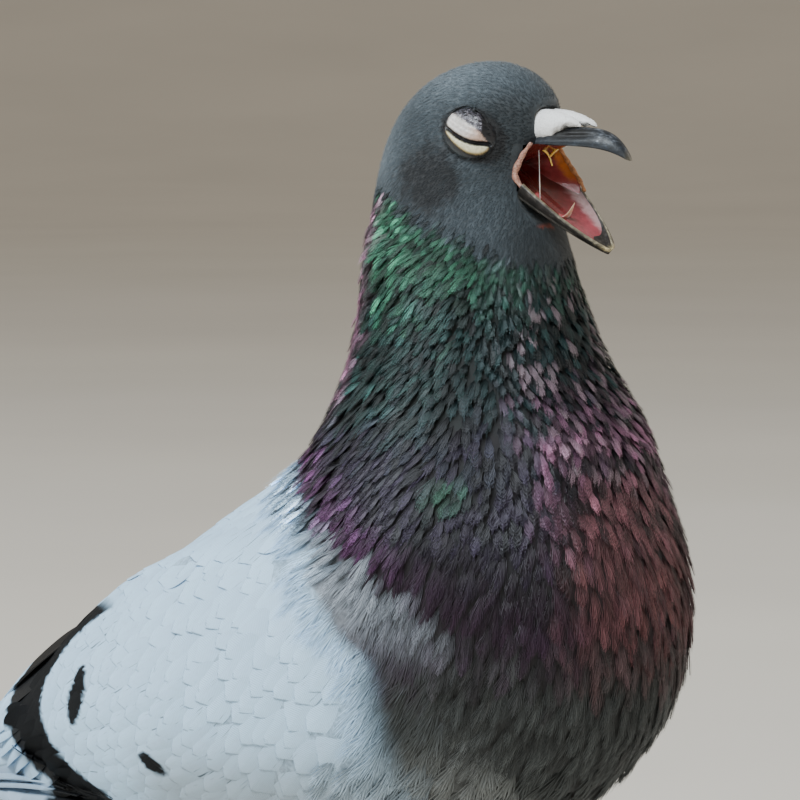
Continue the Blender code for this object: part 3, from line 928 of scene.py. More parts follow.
@dataclass(frozen=True)
class VaneFinish:
    """A feather's surface: its tint, barbs, shaft, a root darkened for its grey down and as painted shade
    between the feathers, and gloss.
    """

    name: str
    barbs: float = 16.0
    slant: float = 6.0
    root_shade: float = 0.35
    root_end: float = 0.55
    tip_light: float = 1.0
    rim: float = 1.0
    splits: float = 0.0
    shine: float = 0.3
    edge_shade: float = 1.0
    shaft: float = 0.8
    barb_depth: float = 0.35
    roughness: float = 0.55
    metallic: float = 0.0
    sheen: float = 0.1

    def make(self) -> Material:
        """The material."""
        nodes = Nodes(self.name)
        spot = nodes.add("SeparateXYZ", Vector=nodes.add("UVMap", uv_map="Vane").outputs["UV"])
        across, along = spot.outputs["X"], spot.outputs["Y"]
        off_shaft = nodes.maths("ABSOLUTE", nodes.maths("SUBTRACT", across, 0.5))
        wave = nodes.maths("ADD", nodes.maths("MULTIPLY", along, self.barbs * math.tau),
                           nodes.maths("MULTIPLY", off_shaft, -self.slant * math.tau))
        barbs = nodes.maths("ADD", nodes.maths("MULTIPLY", nodes.maths("SINE", wave), 0.5), 0.5)
        grain = nodes.noise(1500.0, 2.0)
        barbs = nodes.maths("MULTIPLY", barbs, nodes.maths("ADD", grain, 0.5))
        # Darker towards the root, for its grey down and as painted shade between the feathers; tip_light is
        # painted light at the tip.
        light = nodes.ramp(along, (0.0, self.root_shade), (self.root_end, 0.85), (0.92, self.tip_light),
                           (0.985, self.tip_light * self.rim))
        lines = nodes.ramp(barbs, (0.0, 1.0 - self.barb_depth), (0.8, 1.0 + 0.25 * self.barb_depth))
        edge = nodes.ramp(off_shaft, (0.36, 1.0), (0.5, self.edge_shade))
        shaft = nodes.ramp(off_shaft, (0.0, self.shaft), (0.035, 1.0))
        slits = (self._split(nodes, across, along),) if self.splits else ()
        nodes.bump(barbs, 0.4, 0.12)
        return nodes.settle(
            Base_Color=nodes.tinted(light, lines, edge, shaft, *slits), Roughness=self.roughness,
            Metallic=self.metallic, Sheen_Weight=self.sheen, Specular_IOR_Level=self.shine
        )

    def _split(self, nodes: Nodes, across: Socket, along: Socket) -> Socket:
        """Fine dark slits where barbs have parted, in a few patches only.

        Args:
            nodes: the material in the making.
            across: share across the feather.
            along: share along it.

        Returns:
            The shade of the slits.
        """
        streak = nodes.add("CombineXYZ", X=nodes.maths("MULTIPLY", across, 26.0),
                           Y=nodes.maths("MULTIPLY", along, 1.6), Z=nodes.noise(60.0, 1.0))
        lines = nodes.ramp(nodes.noise(1.0, 2.0, where=streak.outputs["Vector"]), (0.30, 1.0), (0.36, 0.0))
        patches = nodes.ramp(nodes.noise(42.0, 2.0), (0.50, 0.0), (0.60, self.splits))
        return nodes.ramp(nodes.maths("MULTIPLY", lines, patches), (0.0, 1.0), (1.0, 0.3))


# ---- the skin


@dataclass
class Skin:
    """The one skin of head, neck, trunk, wings, thighs, legs and toes."""

    bird: Bird
    plumage: Plumage
    swell: float = 0.7
    cell: float = 1.25
    leg_cell: float = 0.42
    fine_above: float = -46.0

    TRUNK = ("head", "neck", "breast", "belly", "rump", "wing_left", "wing_right", "thigh_left",
             "thigh_right")
    FOOT = ("lower_leg", "inner_toe", "middle_toe", "outer_toe", "hind_toe")

    # Brow, cheek, lores, hollow behind the eye, ear: height, then the oval's place, sizes and tilt.
    MOUNDS = (
        (0.55, 8.5, -7.2, 8.0, 2.4, -14.0),
        (0.55, 11.5, -22.6, 8.0, 2.2, -16.0),
        (-0.25, 17.5, -13.5, 3.5, 3.0, 0.0),
        (-0.45, 1.0, -16.0, 3.0, 4.0, 0.0),
        (0.40, -1.0, -23.0, 5.0, 4.0, 0.0),
    )

    def build(self, finishes: list[Material]) -> Piece:
        """Makes the skin.

        Args:
            finishes: the materials of the feathered skin and of the bare feet.

        Returns:
            The piece, with its colours stored as its tint.
        """
        trunk = self._fused("trunk", self.TRUNK, self.cell)
        smooth_places(trunk, 5)
        trunk = self._refined(trunk)
        smooth_places(trunk, 4)
        self._sink(trunk)
        smooth_places(trunk, 2)
        self._shape_face(trunk)
        trunk = self._opened(trunk)
        feet = tuple(f"{part}_{side}" for side in SIDES for part in self.FOOT)
        legs = self._fused("feet", feet, self.leg_cell)
        smooth_places(legs, 3, 0.35)
        self._scale_feet(legs)
        maker = bmesh.new()
        maker.from_mesh(legs)
        for face in maker.faces:
            face.material_index = BARE
        maker.from_mesh(trunk)
        skin = to_mesh(maker, "skin")
        places = vertex_places(skin)
        paint(skin, self.plumage.at(places) * self._under_shade(places)[:, None])
        return make_piece("skin", skin, finishes, self.TRUNK + feet)

    def _fused(self, name: str, nodes: tuple[str, ...], cell: float) -> Mesh:
        """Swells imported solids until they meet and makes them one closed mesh.

        Args:
            name: a name for the mesh.
            nodes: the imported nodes.
            cell: size of the new faces in millimetres.

        Returns:
            The new mesh.
        """
        maker = bmesh.new()
        for node in nodes:
            part = bmesh.new()
            part.from_mesh(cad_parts[node].data)
            bmesh.ops.remove_doubles(part, verts=part.verts, dist=1e-6)
            part.normal_update()
            for vert in part.verts:
                vert.co += vert.normal * self.swell * MM
            maker.from_mesh(to_mesh(part, node))
        block = bpy.data.objects.new(name, to_mesh(maker, name))
        bpy.context.scene.collection.objects.link(block)
        remesh = block.modifiers.new("One skin", "REMESH")
        remesh.mode = "VOXEL"
        remesh.voxel_size = cell * MM
        seen = block.evaluated_get(bpy.context.evaluated_depsgraph_get())
        mesh = bpy.data.meshes.new_from_object(seen)
        bpy.data.objects.remove(block)
        return mesh

    def _refined(self, mesh: Mesh) -> Mesh:
        """Cuts the head's faces finer than the rest.

        Args:
            mesh: the trunk.

        Returns:
            The finer mesh.
        """
        places = self.bird.body(vertex_places(mesh))
        maker = bmesh.new()
        maker.from_mesh(mesh)
        maker.verts.ensure_lookup_table()
        high = places[:, 2] > self.fine_above
        edges = [edge for edge in maker.edges if high[edge.verts[0].index] and high[edge.verts[1].index]]
        bmesh.ops.subdivide_edges(maker, edges=edges, cuts=1, use_grid_fill=True)
        return to_mesh(maker, "trunk")

    def depth_of_coat(self, points: Array) -> Array:
        """How far in millimetres the skin lies under the feathers' outer form.

        Args:
            points: world places.

        Returns:
            One depth for each point.
        """
        places = self.bird.body(points)
        ahead, depth = places[:, 0], places[:, 2]
        deep = 0.7 + 1.3 * smooth(-25, -36, depth) + 0.4 * smooth(-78, -96, depth)
        behind = smooth(2.0, -10.0, Plumage.collar(places)) * smooth(20, 0, ahead)
        throat = smooth(-28.0, -40.0, depth) * smooth(-84.0, -74.0, depth)
        outline = throat * np.maximum(smooth(-5.0, -13.0, ahead), 0.8 * smooth(24.0, 34.0, ahead))
        over = depth - Plumage.crease(ahead)
        fold = smooth(-0.6, 0.6, over) * smooth(16.0, 4.0, over) * smooth(12.0, 18.0, ahead)
        return deep - 1.0 * behind - 1.2 * outline - 0.9 * fold

    def _sink(self, mesh: Mesh) -> None:
        """Moves the skin in from the swollen solids by the coat's depth."""
        places = vertex_places(mesh)
        inward = (self.swell + self.depth_of_coat(places)) * MM
        set_places(mesh, places - vertex_normals(mesh) * inward[:, None])

    def _opened(self, mesh: Mesh) -> Mesh:
        """Takes the skin away inside the mouth, where the lining lies.

        Args:
            mesh: the trunk.

        Returns:
            The opened mesh.
        """
        head = self.bird.head(vertex_places(mesh))
        ahead, aside, depth = head[:, 0], np.abs(head[:, 1]), head[:, 2]
        between = (depth < -17.4) & (depth > -25.6 - 0.3 * (ahead - 16.0))
        inner = (ahead > 6.0) & (aside < 6.1)
        inside = between & (inner | ((aside < 9.5) & (ahead > self._gape_line(head))))
        maker = bmesh.new()
        maker.from_mesh(mesh)
        maker.verts.ensure_lookup_table()
        gone = [maker.verts[index] for index in np.flatnonzero(inside)]
        bmesh.ops.delete(maker, geom=gone, context="VERTS")
        return to_mesh(maker, "trunk")

    def _under_shade(self, points: Array) -> Array:
        """Light left on the skin between the hackles and plumes of the dark neck and breast."""
        places = self.bird.body(points)
        below = smooth(-2.0, -6.0, places[:, 2] - Plumage.border(places[:, 0]))
        pale = smooth(4.0, -4.0, Plumage.collar(places)) * smooth(26.0, 14.0, places[:, 0])
        return 1.0 - 0.72 * below * (1.0 - pale)

    @staticmethod
    def _gape_line(head: Array) -> Array:
        """Forward place of the mouth's corner skin at the depths of head places."""
        right = np.interp(head[:, 2], *Mouth.RIM_RIGHT)
        left = np.interp(head[:, 2], *Mouth.RIM_LEFT)
        return np.where(head[:, 1] < 0, right, left)

    def _shape_face(self, mesh: Mesh) -> None:
        """Raises the brow and the cheek and hollows the face before and behind the eye.

        Args:
            mesh: the trunk, changed in place.
        """
        places = vertex_places(mesh)
        head = self.bird.head(places)
        normals = vertex_normals(mesh)
        outer = smooth(5.0, 9.0, np.abs(head[:, 1]))

        def mound(ahead: float, depth: float, long: float, high: float, tilt: float) -> Array:
            """A soft bump from 0 to 1 over an oval, seen from the side.

            Args:
                ahead: forward place of its middle.
                depth: depth of its middle.
                long: half its length.
                high: half its height.
                tilt: its turn in degrees.

            Returns:
                The bump at each vertex.
            """
            turn = math.radians(tilt)
            along = (head[:, 0] - ahead) * math.cos(turn) + (head[:, 2] - depth) * math.sin(turn)
            across = -(head[:, 0] - ahead) * math.sin(turn) + (head[:, 2] - depth) * math.cos(turn)
            return np.exp(-((along / long) ** 2) - (across / high) ** 2) * outer

        rise = sum(high * mound(*oval) for high, *oval in self.MOUNDS)
        set_places(mesh, places + normals * (rise * MM)[:, None])

    def _scale_feet(self, mesh: Mesh) -> None:
        """Presses shallow scutes across the shanks and the toes.

        Args:
            mesh: the feet, changed in place.
        """
        places = vertex_places(mesh)
        normals = vertex_normals(mesh)
        low = places[:, 2].min()
        body = self.bird.body(places)
        shank = smooth(6.0, 9.0, (places[:, 2] - low) / MM)
        bands = np.cos(places[:, 2] / MM * math.tau / 2.1 + 0.4 * body[:, 0])
        rings = np.cos(np.hypot(body[:, 0] + 31.0, np.abs(body[:, 1]) - 24.0) * math.tau / 1.5)
        upward = smooth(-0.2, 0.6, normals[:, 2])
        press = shank * 0.09 * bands + (1.0 - shank) * upward * 0.10 * rings
        press += 0.05 * ripple(body, 0.9, 31)
        moved = places + normals * (press * MM)[:, None]
        moved[:, 2] = np.where(places[:, 2] < low + 0.8 * MM, places[:, 2], moved[:, 2])
        moved[:, 2] = np.maximum(moved[:, 2], 0.0)
        set_places(mesh, moved)


# ---- feathers


@dataclass(frozen=True)
class Vane:
    """A feather's pattern: places across in half widths, along from 0 to 1, and above the sheet."""

    across: Array
    along: Array
    rise: Array
    corners: Array
    starts: Array
    totals: Array

    @classmethod
    def of(cls, maker: Maker) -> "Vane":
        """The pattern of a mesh whose x is across, y along and z above.

        Args:
            maker: the mesh in the making, which it uses up.

        Returns:
            The pattern.
        """
        mesh = to_mesh(maker, "vane")
        corners = listed(mesh.loops, "vertex_index")
        starts, totals = (listed(mesh.polygons, name) for name in ("loop_start", "loop_total"))
        pattern = cls(*vertex_places(mesh).T, corners, starts, totals)
        bpy.data.meshes.remove(mesh)
        return pattern

    @classmethod
    def blade(cls, columns: int, rows: int, point: float, root: float, fold: float) -> "Vane":
        """A whole vane with a shaft line.

        Args:
            columns: faces across.
            rows: faces along.
            point: how square the tip is, high for square.
            root: the root's width as a share of the widest.
            fold: how far the edges drop, in half widths.

        Returns:
            The pattern.
        """
        maker = bmesh.new()
        bmesh.ops.create_grid(maker, x_segments=columns, y_segments=rows, size=1.0)
        for vert in maker.verts:
            across, along = vert.co.x, 1.0 - (0.5 - vert.co.y / 2.0) ** 1.5
            full = root + (1.0 - root) * math.sin(min(along / 0.5, 1.0) * math.pi / 2)
            tip = max(0.0, (along - 0.45) / 0.55)
            width = full * max(0.0, 1.0 - tip ** point) ** 0.5
            reach = along - min(0.10, 0.4 / point) * abs(across) ** 2 * along
            vert.co = (across * width, reach, -fold * abs(across) ** 1.5 * width)
        bmesh.ops.remove_doubles(maker, verts=maker.verts, dist=1e-4)
        return cls.of(maker)

    def thickened(self, thickness: float) -> "Vane":
        """The same pattern with two sides.

        Args:
            thickness: the gap between its sides, in half widths.

        Returns:
            The two-sided pattern.
        """
        maker = bmesh.new()
        corners = [maker.verts.new(place) for place in zip(self.across, self.along, self.rise)]
        for start, total in zip(self.starts, self.totals):
            maker.faces.new([corners[index] for index in self.corners[start:start + total]])
        made = bmesh.ops.solidify(maker, geom=maker.faces[:], thickness=0.02)["geom"]
        below = {vert for vert in made if isinstance(vert, bmesh.types.BMVert)}
        for vert in below:
            vert.co.z -= thickness
        return Vane.of(maker)

    @classmethod
    def plume(cls, strands: int, rows: int, seed: int, thick: float, body: float) -> "Vane":
        """A soft vane that ends in loose strands.

        Args:
            strands: how many strands.
            rows: faces along each strand.
            seed: for the strands' unevenness.
            thick: a strand's half width, in half widths of the vane.
            body: width of the whole part under the strands, or 0 for none.

        Returns:
            The pattern.
        """
        turn = np.random.default_rng(seed)
        maker = bmesh.new()
        for number in range(strands):
            lean = (number + 0.5) / strands * 2.0 - 1.0
            made = bmesh.ops.create_grid(maker, x_segments=1, y_segments=rows, size=1.0)["verts"]
            start = 0.05 + 0.35 * (1.0 - abs(lean))
            end = 1.0 - 0.30 * abs(lean) ** 1.6 - turn.uniform(0.0, 0.14)
            bow = turn.uniform(-0.10, 0.10)
            lift = turn.uniform(-0.05, 0.22)
            for vert in made:
                side, part = vert.co.x, (vert.co.y + 1.0) / 2.0
                middle = 0.95 * lean * part ** 0.75 + bow * math.sin(part * math.pi)
                half = thick * (1.0 - 0.85 * part ** 1.5)
                vert.co = (middle + side * half, start + (end - start) * part, lift * part)
        if body:
            made = bmesh.ops.create_grid(maker, x_segments=2, y_segments=2, size=1.0)["verts"]
            for vert in made:
                side, part = vert.co.x, (vert.co.y + 1.0) / 2.0
                half = body * (1.0 - 0.55 * part ** 2)
                vert.co = (side * half, part * 0.78, -0.10 * abs(side) - 0.05)
        return cls.of(maker)


class Marking(Enum):
    """How a feather takes its colour from the bird's markings."""

    WHOLE = "one colour for the whole feather"
    ACROSS = "the markings run over it"


@dataclass(frozen=True)
class Feathers:
    """One kind of small feather: its pattern, sizes and stance, in millimetres and degrees."""

    vane: Vane
    gap: float
    length: float
    width: float
    lift: float
    swell: float = 0.35
    sunk: float = 0.25
    stray: float = 9.0
    uneven: float = 0.14
    fleck: float = 0.10
    ruffle: float = 0.35
    seed: int = 1
    marking: Marking = Marking.WHOLE


@dataclass
class Coat:
    """Lays feathers over the skin and joins them into pieces."""

    bird: Bird
    ground: list[Piece]
    plumage: Plumage
    lie: Lie
    unwrap: Unwrap
    surface: BVHTree = field(init=False, default=None)
    corners: Array = field(init=False, default=None)
    normals: Array = field(init=False, default=None)
    areas: Array = field(init=False, default=None)

    TRIES = 3.2       # roots tried for each one that finds room
    READ_AT = 0.7     # share of a feather's length where it reads the markings

    def __post_init__(self) -> None:
        """Reads the triangles that feathers may root in."""
        whole = bmesh.new()
        corners, normals = [], []
        for piece in self.ground:
            mesh = piece.data
            mesh.calc_loop_triangles()
            triangles = listed(mesh.loop_triangles, "vertices", wide=3).reshape(-1, 3)
            index = triangles[listed(mesh.loop_triangles, "material_index") == FEATHERED]
            corners.append(vertex_places(mesh)[index])
            normals.append(vertex_normals(mesh)[index])
            whole.from_mesh(mesh)
        self.surface = BVHTree.FromBMesh(whole)
        whole.free()
        self.corners, self.normals = np.concatenate(corners), np.concatenate(normals)
        edges = self.corners[:, 1:] - self.corners[:, :1]
        self.areas = np.linalg.norm(np.cross(edges[:, 0], edges[:, 1]), axis=1) / 2.0 / MM ** 2

    def roots(self, kind: Feathers, where: Field) -> tuple[Array, Array]:
        """Spreads roots evenly over a part of the skin.

        Args:
            kind: the feathers, for their gap and seed.
            where: gives the share of feathers, 0 to 1, at world places.

        Returns:
            The roots and the skin's normals there.
        """
        turn = np.random.default_rng(kind.seed)
        weight = self.areas * where(self.corners.mean(axis=1))
        count = int(weight.sum() / kind.gap ** 2 * self.TRIES)
        chosen = turn.choice(len(weight), count, p=weight / weight.sum())
        first, second = turn.random(count), turn.random(count)
        fold = first + second > 1.0
        first, second = np.where(fold, 1 - first, first), np.where(fold, 1 - second, second)
        shares = np.stack((1 - first - second, first, second), axis=1)[:, :, None]
        points = (self.corners[chosen] * shares).sum(axis=1)
        normals = unit((self.normals[chosen] * shares).sum(axis=1))
        kept = self._spaced(points, kind.gap * MM)
        return points[kept], normals[kept]

    @staticmethod
    def _spaced(points: Array, gap: float) -> Array:
        """Picks points that keep a gap from each other.

        Args:
            points: places, the first ones kept first.
            gap: the least distance between two.

        Returns:
            The indices of the kept ones.
        """
        tree = KDTree(len(points))
        for index, point in enumerate(points):
            tree.insert(point, index)
        tree.balance()
        alive = np.ones(len(points), bool)
        for index, point in enumerate(points):
            if alive[index]:
                near = [found[1] for found in tree.find_range(point, gap)]
                alive[near] = False
                alive[index] = True
        return np.flatnonzero(alive)

    def grow(self, name: str, kind: Feathers, where: Field, finish: Material, slot: str,
             tune: Callable | None = None) -> Piece:
        """Grows one coat piece.

        Args:
            name: the piece's name.
            kind: its feathers.
            where: the share of feathers at world places.
            finish: its material.
            slot: not used.
            tune: changes the colours, given body places, colours and a random source.

        Returns:
            The piece.
        """
        points, normals = self.roots(kind, where)
        turn = np.random.default_rng(kind.seed + 1000)
        count = len(points)
        stray = np.radians(kind.stray) * turn.normal(size=count)
        ways = self.lie.at(points, normals, stray)
        size = np.clip(1.0 + kind.uneven * turn.normal(size=count), 0.6, 1.5)
        lengths = kind.length * MM * size
        widths = kind.width * MM / 2.0 * np.clip(1.0 + 0.6 * kind.uneven * turn.normal(size=count), 0.7, 1.4)
        ends = np.empty_like(points)
        end_normals = np.empty_like(points)
        for index, target in enumerate(points + ways * lengths[:, None]):
            place, normal, _, _ = self.surface.find_nearest(target)
            ends[index], end_normals[index] = place, normal
        lifts = kind.lift * MM * np.clip(1.0 + kind.ruffle * turn.normal(size=count), 0.3, 2.2)
        ends += end_normals * lifts[:, None]
        plain = self.plumage.at(points + ways * lengths[:, None] * self.READ_AT)
        colours = plain * np.clip(1.0 + kind.fleck * turn.normal(size=count), 0.4, 1.8)[:, None]
        if tune:
            colours = tune(self.bird.body(points), colours, turn)
        starts = points - normals * kind.sunk * MM
        middles = (points + ends) / 2.0 + (normals + end_normals) * (kind.swell + 0.5 * kind.lift) * MM / 2.0
        mesh = lay(name, kind.vane, (starts, middles, ends), (normals, end_normals), widths, colours,
                   self.unwrap.trunk(points), self.unwrap.patch)
        if kind.marking is Marking.ACROSS:
            own = np.repeat(colours / plain, len(kind.vane.along), 0)
            paint(mesh, self.plumage.at(vertex_places(mesh)) * own)
        return make_piece(name, mesh, [finish])


def lay(name: str, vane: Vane, line: tuple, normals: tuple, widths: Array, colours: Array, spots: Array,
        patch: float) -> Mesh:
    """Bends copies of one feather pattern along curves and joins them.

    Args:
        name: the mesh's name.
        vane: the pattern.
        line: start, middle and end points of each feather's curve.
        normals: the skin's normals at each feather's root and tip.
        widths: each feather's half width.
        colours: each feather's linear colour.
        spots: each feather's place on the flat layout.
        patch: a feather's size on that layout.

    Returns:
        The joined mesh, with the maps "Vane" and "OFBake" and its tint.
    """
    start, middle, end = (part[:, None, :] for part in line)
    part = vane.along[None, :, None]
    centre = start * (1 - part) ** 2 + middle * 2 * part * (1 - part) + end * part ** 2
    way = unit((middle - start) * (1 - part) + (end - middle) * part + 1e-12)
    up = unit(normals[0][:, None, :] * (1 - part) + normals[1][:, None, :] * part)
    side = unit(np.cross(way, up))
    up = np.cross(side, way)
    half = widths[:, None, None]
    places = centre + side * (vane.across[None, :, None] * half) + up * (vane.rise[None, :, None] * half)
    count, size = len(widths), len(vane.along)
    mesh = bpy.data.meshes.new(name)
    mesh.vertices.add(count * size)
    mesh.loops.add(count * len(vane.corners))
    mesh.polygons.add(count * len(vane.starts))
    copies = np.arange(count, dtype=np.int32)[:, None]
    mesh.vertices.foreach_set("co", places.astype(np.float32).ravel())
    mesh.loops.foreach_set("vertex_index", (vane.corners[None, :] + copies * size).ravel())
    mesh.polygons.foreach_set("loop_start", (vane.starts[None, :] + copies * len(vane.corners)).ravel())
    mesh.polygons.foreach_set("loop_total", np.tile(vane.totals, count))
    mesh.update(calc_edges=True)
    flat = np.stack((np.clip(vane.across, -1, 1) / 2.0 + 0.5, vane.along), axis=1)[vane.corners]
    baked = spots[:, None, :] + (flat[None, :, :] - 0.5) * patch
    for layer, spread in (("Vane", np.tile(flat, (count, 1))), ("OFBake", baked)):
        mesh.uv_layers.new(name=layer).data.foreach_set("uv", spread.astype(np.float32).ravel())
    paint(mesh, np.repeat(colours, size, axis=0))
    mesh.validate()
    return mesh


@dataclass
class Dress:
    """All the small feathers, region by region."""

    coat: Coat

    def build(self) -> None:
        """Grows every region's feathers."""
        self._head()
        self._neck()
        self._breast()
        self._belly()
        self._strip()
        self._pale_back()

    def _places(self, points: Array) -> tuple[Array, Array, Array]:
        """Forward place, distance from the middle and depth of world places."""
        body = self.coat.bird.body(points)
        return body[:, 0], np.abs(body[:, 1]), body[:, 2]

    def neck_border(self, points: Array) -> Array:
        """Height in millimetres above the line where the head's down ends."""
        ahead, _, depth = self._places(points)
        return depth - Plumage.border(ahead)

    @staticmethod
    def wing_hem(ahead: Array) -> Array:
        """Depth of the folded wing's lower edge."""
        return -153.0 - 0.08 * (ahead + 60.0)

    def _eye_clear(self, points: Array) -> Array:
        """0 on the lids and in the sockets, 1 on the face."""
        head = self.coat.bird.head(points)
        return np.where(np.abs(head[:, 1]) > 6.0, smooth(0.91, 0.98, Plumage.round_eye(head)), 1.0)

    def _mouth_clear(self, points: Array) -> Array:
        """0 inside the mouth and under the cere, 1 on the face.

        Args:
            points: world places.

        Returns:
            One share for each point.
        """
        head = self.coat.bird.head(points)
        ahead, aside, depth = head[:, 0], np.abs(head[:, 1]), head[:, 2]
        between = (ahead > 6.0) & (depth < -17.0) & (depth > -27.5)
        inside = between & (aside < 8.6 - 0.12 * (22.0 - ahead) ** 2)
        gape = (ahead > 20.6) & (depth < -16.4) & (depth > -26.5)
        return np.where(inside | gape, 0.0, 1.0)

    def _head(self) -> None:
        """Short, dense down on the head."""
        down = VaneFinish("Head down", barbs=3.0, root_shade=0.45, root_end=0.6, tip_light=1.15,
                          shaft=1.0, roughness=0.7, sheen=0.06)
        face = Feathers(Vane.plume(3, 2, 11, thick=0.17, body=0.0), gap=0.41, length=1.8, width=0.55,
                        lift=0.22, swell=0.08, stray=7.0, fleck=0.08, seed=21)

        def where(points: Array) -> Array:
            """Head down above the neck's hackles."""
            above = smooth(-3.0, 1.0, self.neck_border(points))
            return above * self._eye_clear(points) * self._mouth_clear(points)

        self.coat.grow("head_down", face, where, down.make(), "head_feathers")

    def _shimmer(self, places: Array, colours: Array, turn: np.random.Generator) -> Array:
        """Gives single hackles another glint than their neighbours.

        Args:
            places: body places of the roots.
            colours: the feathers' own colours.
            turn: a random source.

        Returns:
            The changed colours.
        """
        pick = turn.random(len(places))
        colours = blend(colours, Plumage.TEAL, 0.5 * (pick < 0.20) * smooth(-84, -74, places[:, 2]))
        colours = blend(colours, Plumage.DEEP, 0.75 * (pick > 0.76))
        glint = (pick > 0.45) & (pick < 0.62)
        colours = colours * (1.0 + 1.5 * glint * smooth(10.0, -6.0, places[:, 0]) + 0.6 * glint)[:, None]
        # Pale painted glints on single hackles at the front of the neck.
        front = smooth(18.0, 12.0, np.abs(places[:, 1])) * smooth(20.0, 25.0, places[:, 0])
        front = front * smooth(-40.0, -46.0, places[:, 2])
        front = front * smooth(-6.0, 2.0, places[:, 2] - Plumage.crease(places[:, 0]))
        return blend(colours, Plumage.PALE_GLINT, 0.5 * front * ((pick > 0.20) & (pick < 0.42)))

    def _neck(self) -> None:
        """Glossy hackles round the neck."""
        gloss = VaneFinish("Neck gloss", barbs=11.0, slant=9.0, root_shade=0.06, root_end=0.45, tip_light=1.5,
                           barb_depth=0.75, roughness=0.40, metallic=0.35, sheen=0.0, shine=0.5)
        finish = gloss.make()
        short = Feathers(Vane.plume(7, 3, 17, thick=0.13, body=0.6), gap=0.88, length=3.6, width=1.4,
                         lift=0.5, swell=0.3, stray=8.0, fleck=0.2, seed=28)
        upper = Feathers(Vane.plume(9, 3, 12, thick=0.12, body=0.62), gap=1.27, length=5.6, width=2.3,
                         lift=1.0, swell=0.5, stray=9.0, fleck=0.25, seed=22)
        lower = Feathers(Vane.plume(11, 3, 13, thick=0.10, body=0.55), gap=1.5, length=7.6, width=2.6,
                         lift=1.0, swell=0.5, stray=7.0, fleck=0.22, seed=23)

        def where_short(points: Array) -> Array:
            """The first rows below the head's down."""
            over = self.neck_border(points)
            return smooth(3.5, 0.0, over) * (over > -6.0) * self._mouth_clear(points)

        def where_upper(points: Array) -> Array:
            """From the short rows to the middle of the neck."""
            ahead, _, depth = self._places(points)
            above = depth > Plumage.crease(ahead)
            return smooth(-2.5, -6.0, self.neck_border(points)) * above

        def where_lower(points: Array) -> Array:
            """The neck's root down to the collar's line."""
            ahead, _, depth = self._places(points)
            over = Plumage.collar(self.coat.bird.body(points))
            keep = (depth <= Plumage.crease(ahead)) & (depth > -90.0) & ((over > -1.0) | (ahead > 26.0))
            return keep.astype(float)

        self.coat.grow("neck_hackles_short", short, where_short, finish, "neck_feathers", tune=self._shimmer)
        self.coat.grow("neck_hackles_upper", upper, where_upper, finish, "neck_feathers", tune=self._shimmer)
        self.coat.grow("neck_hackles_lower", lower, where_lower, finish, "neck_feathers", tune=self._shimmer)

    def _breast(self) -> None:
        """Hair-like plumes on the breast."""
        silk = VaneFinish("Breast plumes", barbs=5.0, slant=12.0, root_shade=0.12, root_end=0.5,
                          tip_light=1.4, barb_depth=0.65, roughness=0.5, metallic=0.2, sheen=0.0, shine=0.4)
        plume = Feathers(Vane.plume(13, 3, 14, thick=0.075, body=0.4), gap=1.65, length=9.0, width=3.0,
                         lift=1.1, swell=0.5, stray=6.0, fleck=0.30, seed=24)

        def where(points: Array) -> Array:
            """Below the neck's root, ahead of the wings, down to the belly."""
            ahead, _, depth = self._places(points)
            over = Plumage.collar(self.coat.bird.body(points))
            keep = (depth <= -90.0) & (depth > -136.0) & (ahead > -2.0) & ((over > -1.0) | (ahead > 24.0))
            return keep.astype(float)

        self.coat.grow("breast_plumes", plume, where, silk.make(), "breast_feathers")

    def _belly(self) -> None:
        """Woolly feathers under the body, on the flanks and the thighs."""
        wool = VaneFinish("Belly wool", barbs=5.0, slant=9.0, root_shade=0.3, root_end=0.5, tip_light=1.15,
                          barb_depth=0.3, roughness=0.75, sheen=0.05)
        finish = wool.make()
        tuft = Feathers(Vane.plume(11, 3, 15, thick=0.09, body=0.6), gap=2.6, length=10.0, width=5.0,
                        lift=1.3, swell=0.6, stray=9.0, fleck=0.10, seed=25)

        def where(points: Array) -> Array:
            """Everything below the breast and the wings."""
            ahead, _, depth = self._places(points)
            low = (depth <= -136.0) & (ahead > 0.0)
            under = (ahead <= 0.0) & (depth < self.wing_hem(ahead))
            return (low | under).astype(float)

        self.coat.grow("belly_wool", tuft, where, finish, "belly_feathers")

    def _strip(self) -> None:
        """The soft grey band between the collar and the wing."""
        soft = VaneFinish("Soft shoulder plumes", barbs=4.0, slant=10.0, root_shade=0.72, root_end=0.4,
                          tip_light=1.05, barb_depth=0.25, roughness=0.7, sheen=0.05)
        plume = Feathers(Vane.plume(13, 3, 16, thick=0.06, body=0.45), gap=2.0, length=11.0, width=4.6,
                         lift=0.7, swell=0.4, stray=8.0, fleck=0.06, seed=26, marking=Marking.ACROSS)

        def where(points: Array) -> Array:
            """A band along the collar's line, and ahead of the wing's front edge."""
            ahead, _, depth = self._places(points)
            over = Plumage.collar(self.coat.bird.body(points))
            wide = Plumage.band_width(ahead) + 1.0
            band = (over <= 1.0) & (over > -wide) & (ahead <= 24.0)
            front = (over <= -wide) & (ahead <= 24.0) & (ahead > 9.0) & (depth > -136.0)
            return (band | front).astype(float)

        self.coat.grow("shoulder_plumes", plume, where, soft.make(), "breast_feathers")

    def _pale_back(self) -> None:
        """Round coverts over the mantle, the folded wings and the rump."""
        pale = VaneFinish("Pale coverts", barbs=30.0, slant=9.0, root_shade=0.75, root_end=0.3,
                          tip_light=1.0, edge_shade=0.97, shaft=0.97, barb_depth=0.06, rim=0.92,
                          splits=1.0, roughness=0.7, sheen=0.0, shine=0.12)
        covert = Feathers(Vane.blade(10, 12, point=2.2, root=0.6, fold=0.16), gap=3.4, length=14.0,
                          width=10.0, lift=0.50, swell=0.42, stray=3.0, uneven=0.05, fleck=0.02,
                          ruffle=0.10, seed=27, marking=Marking.ACROSS)

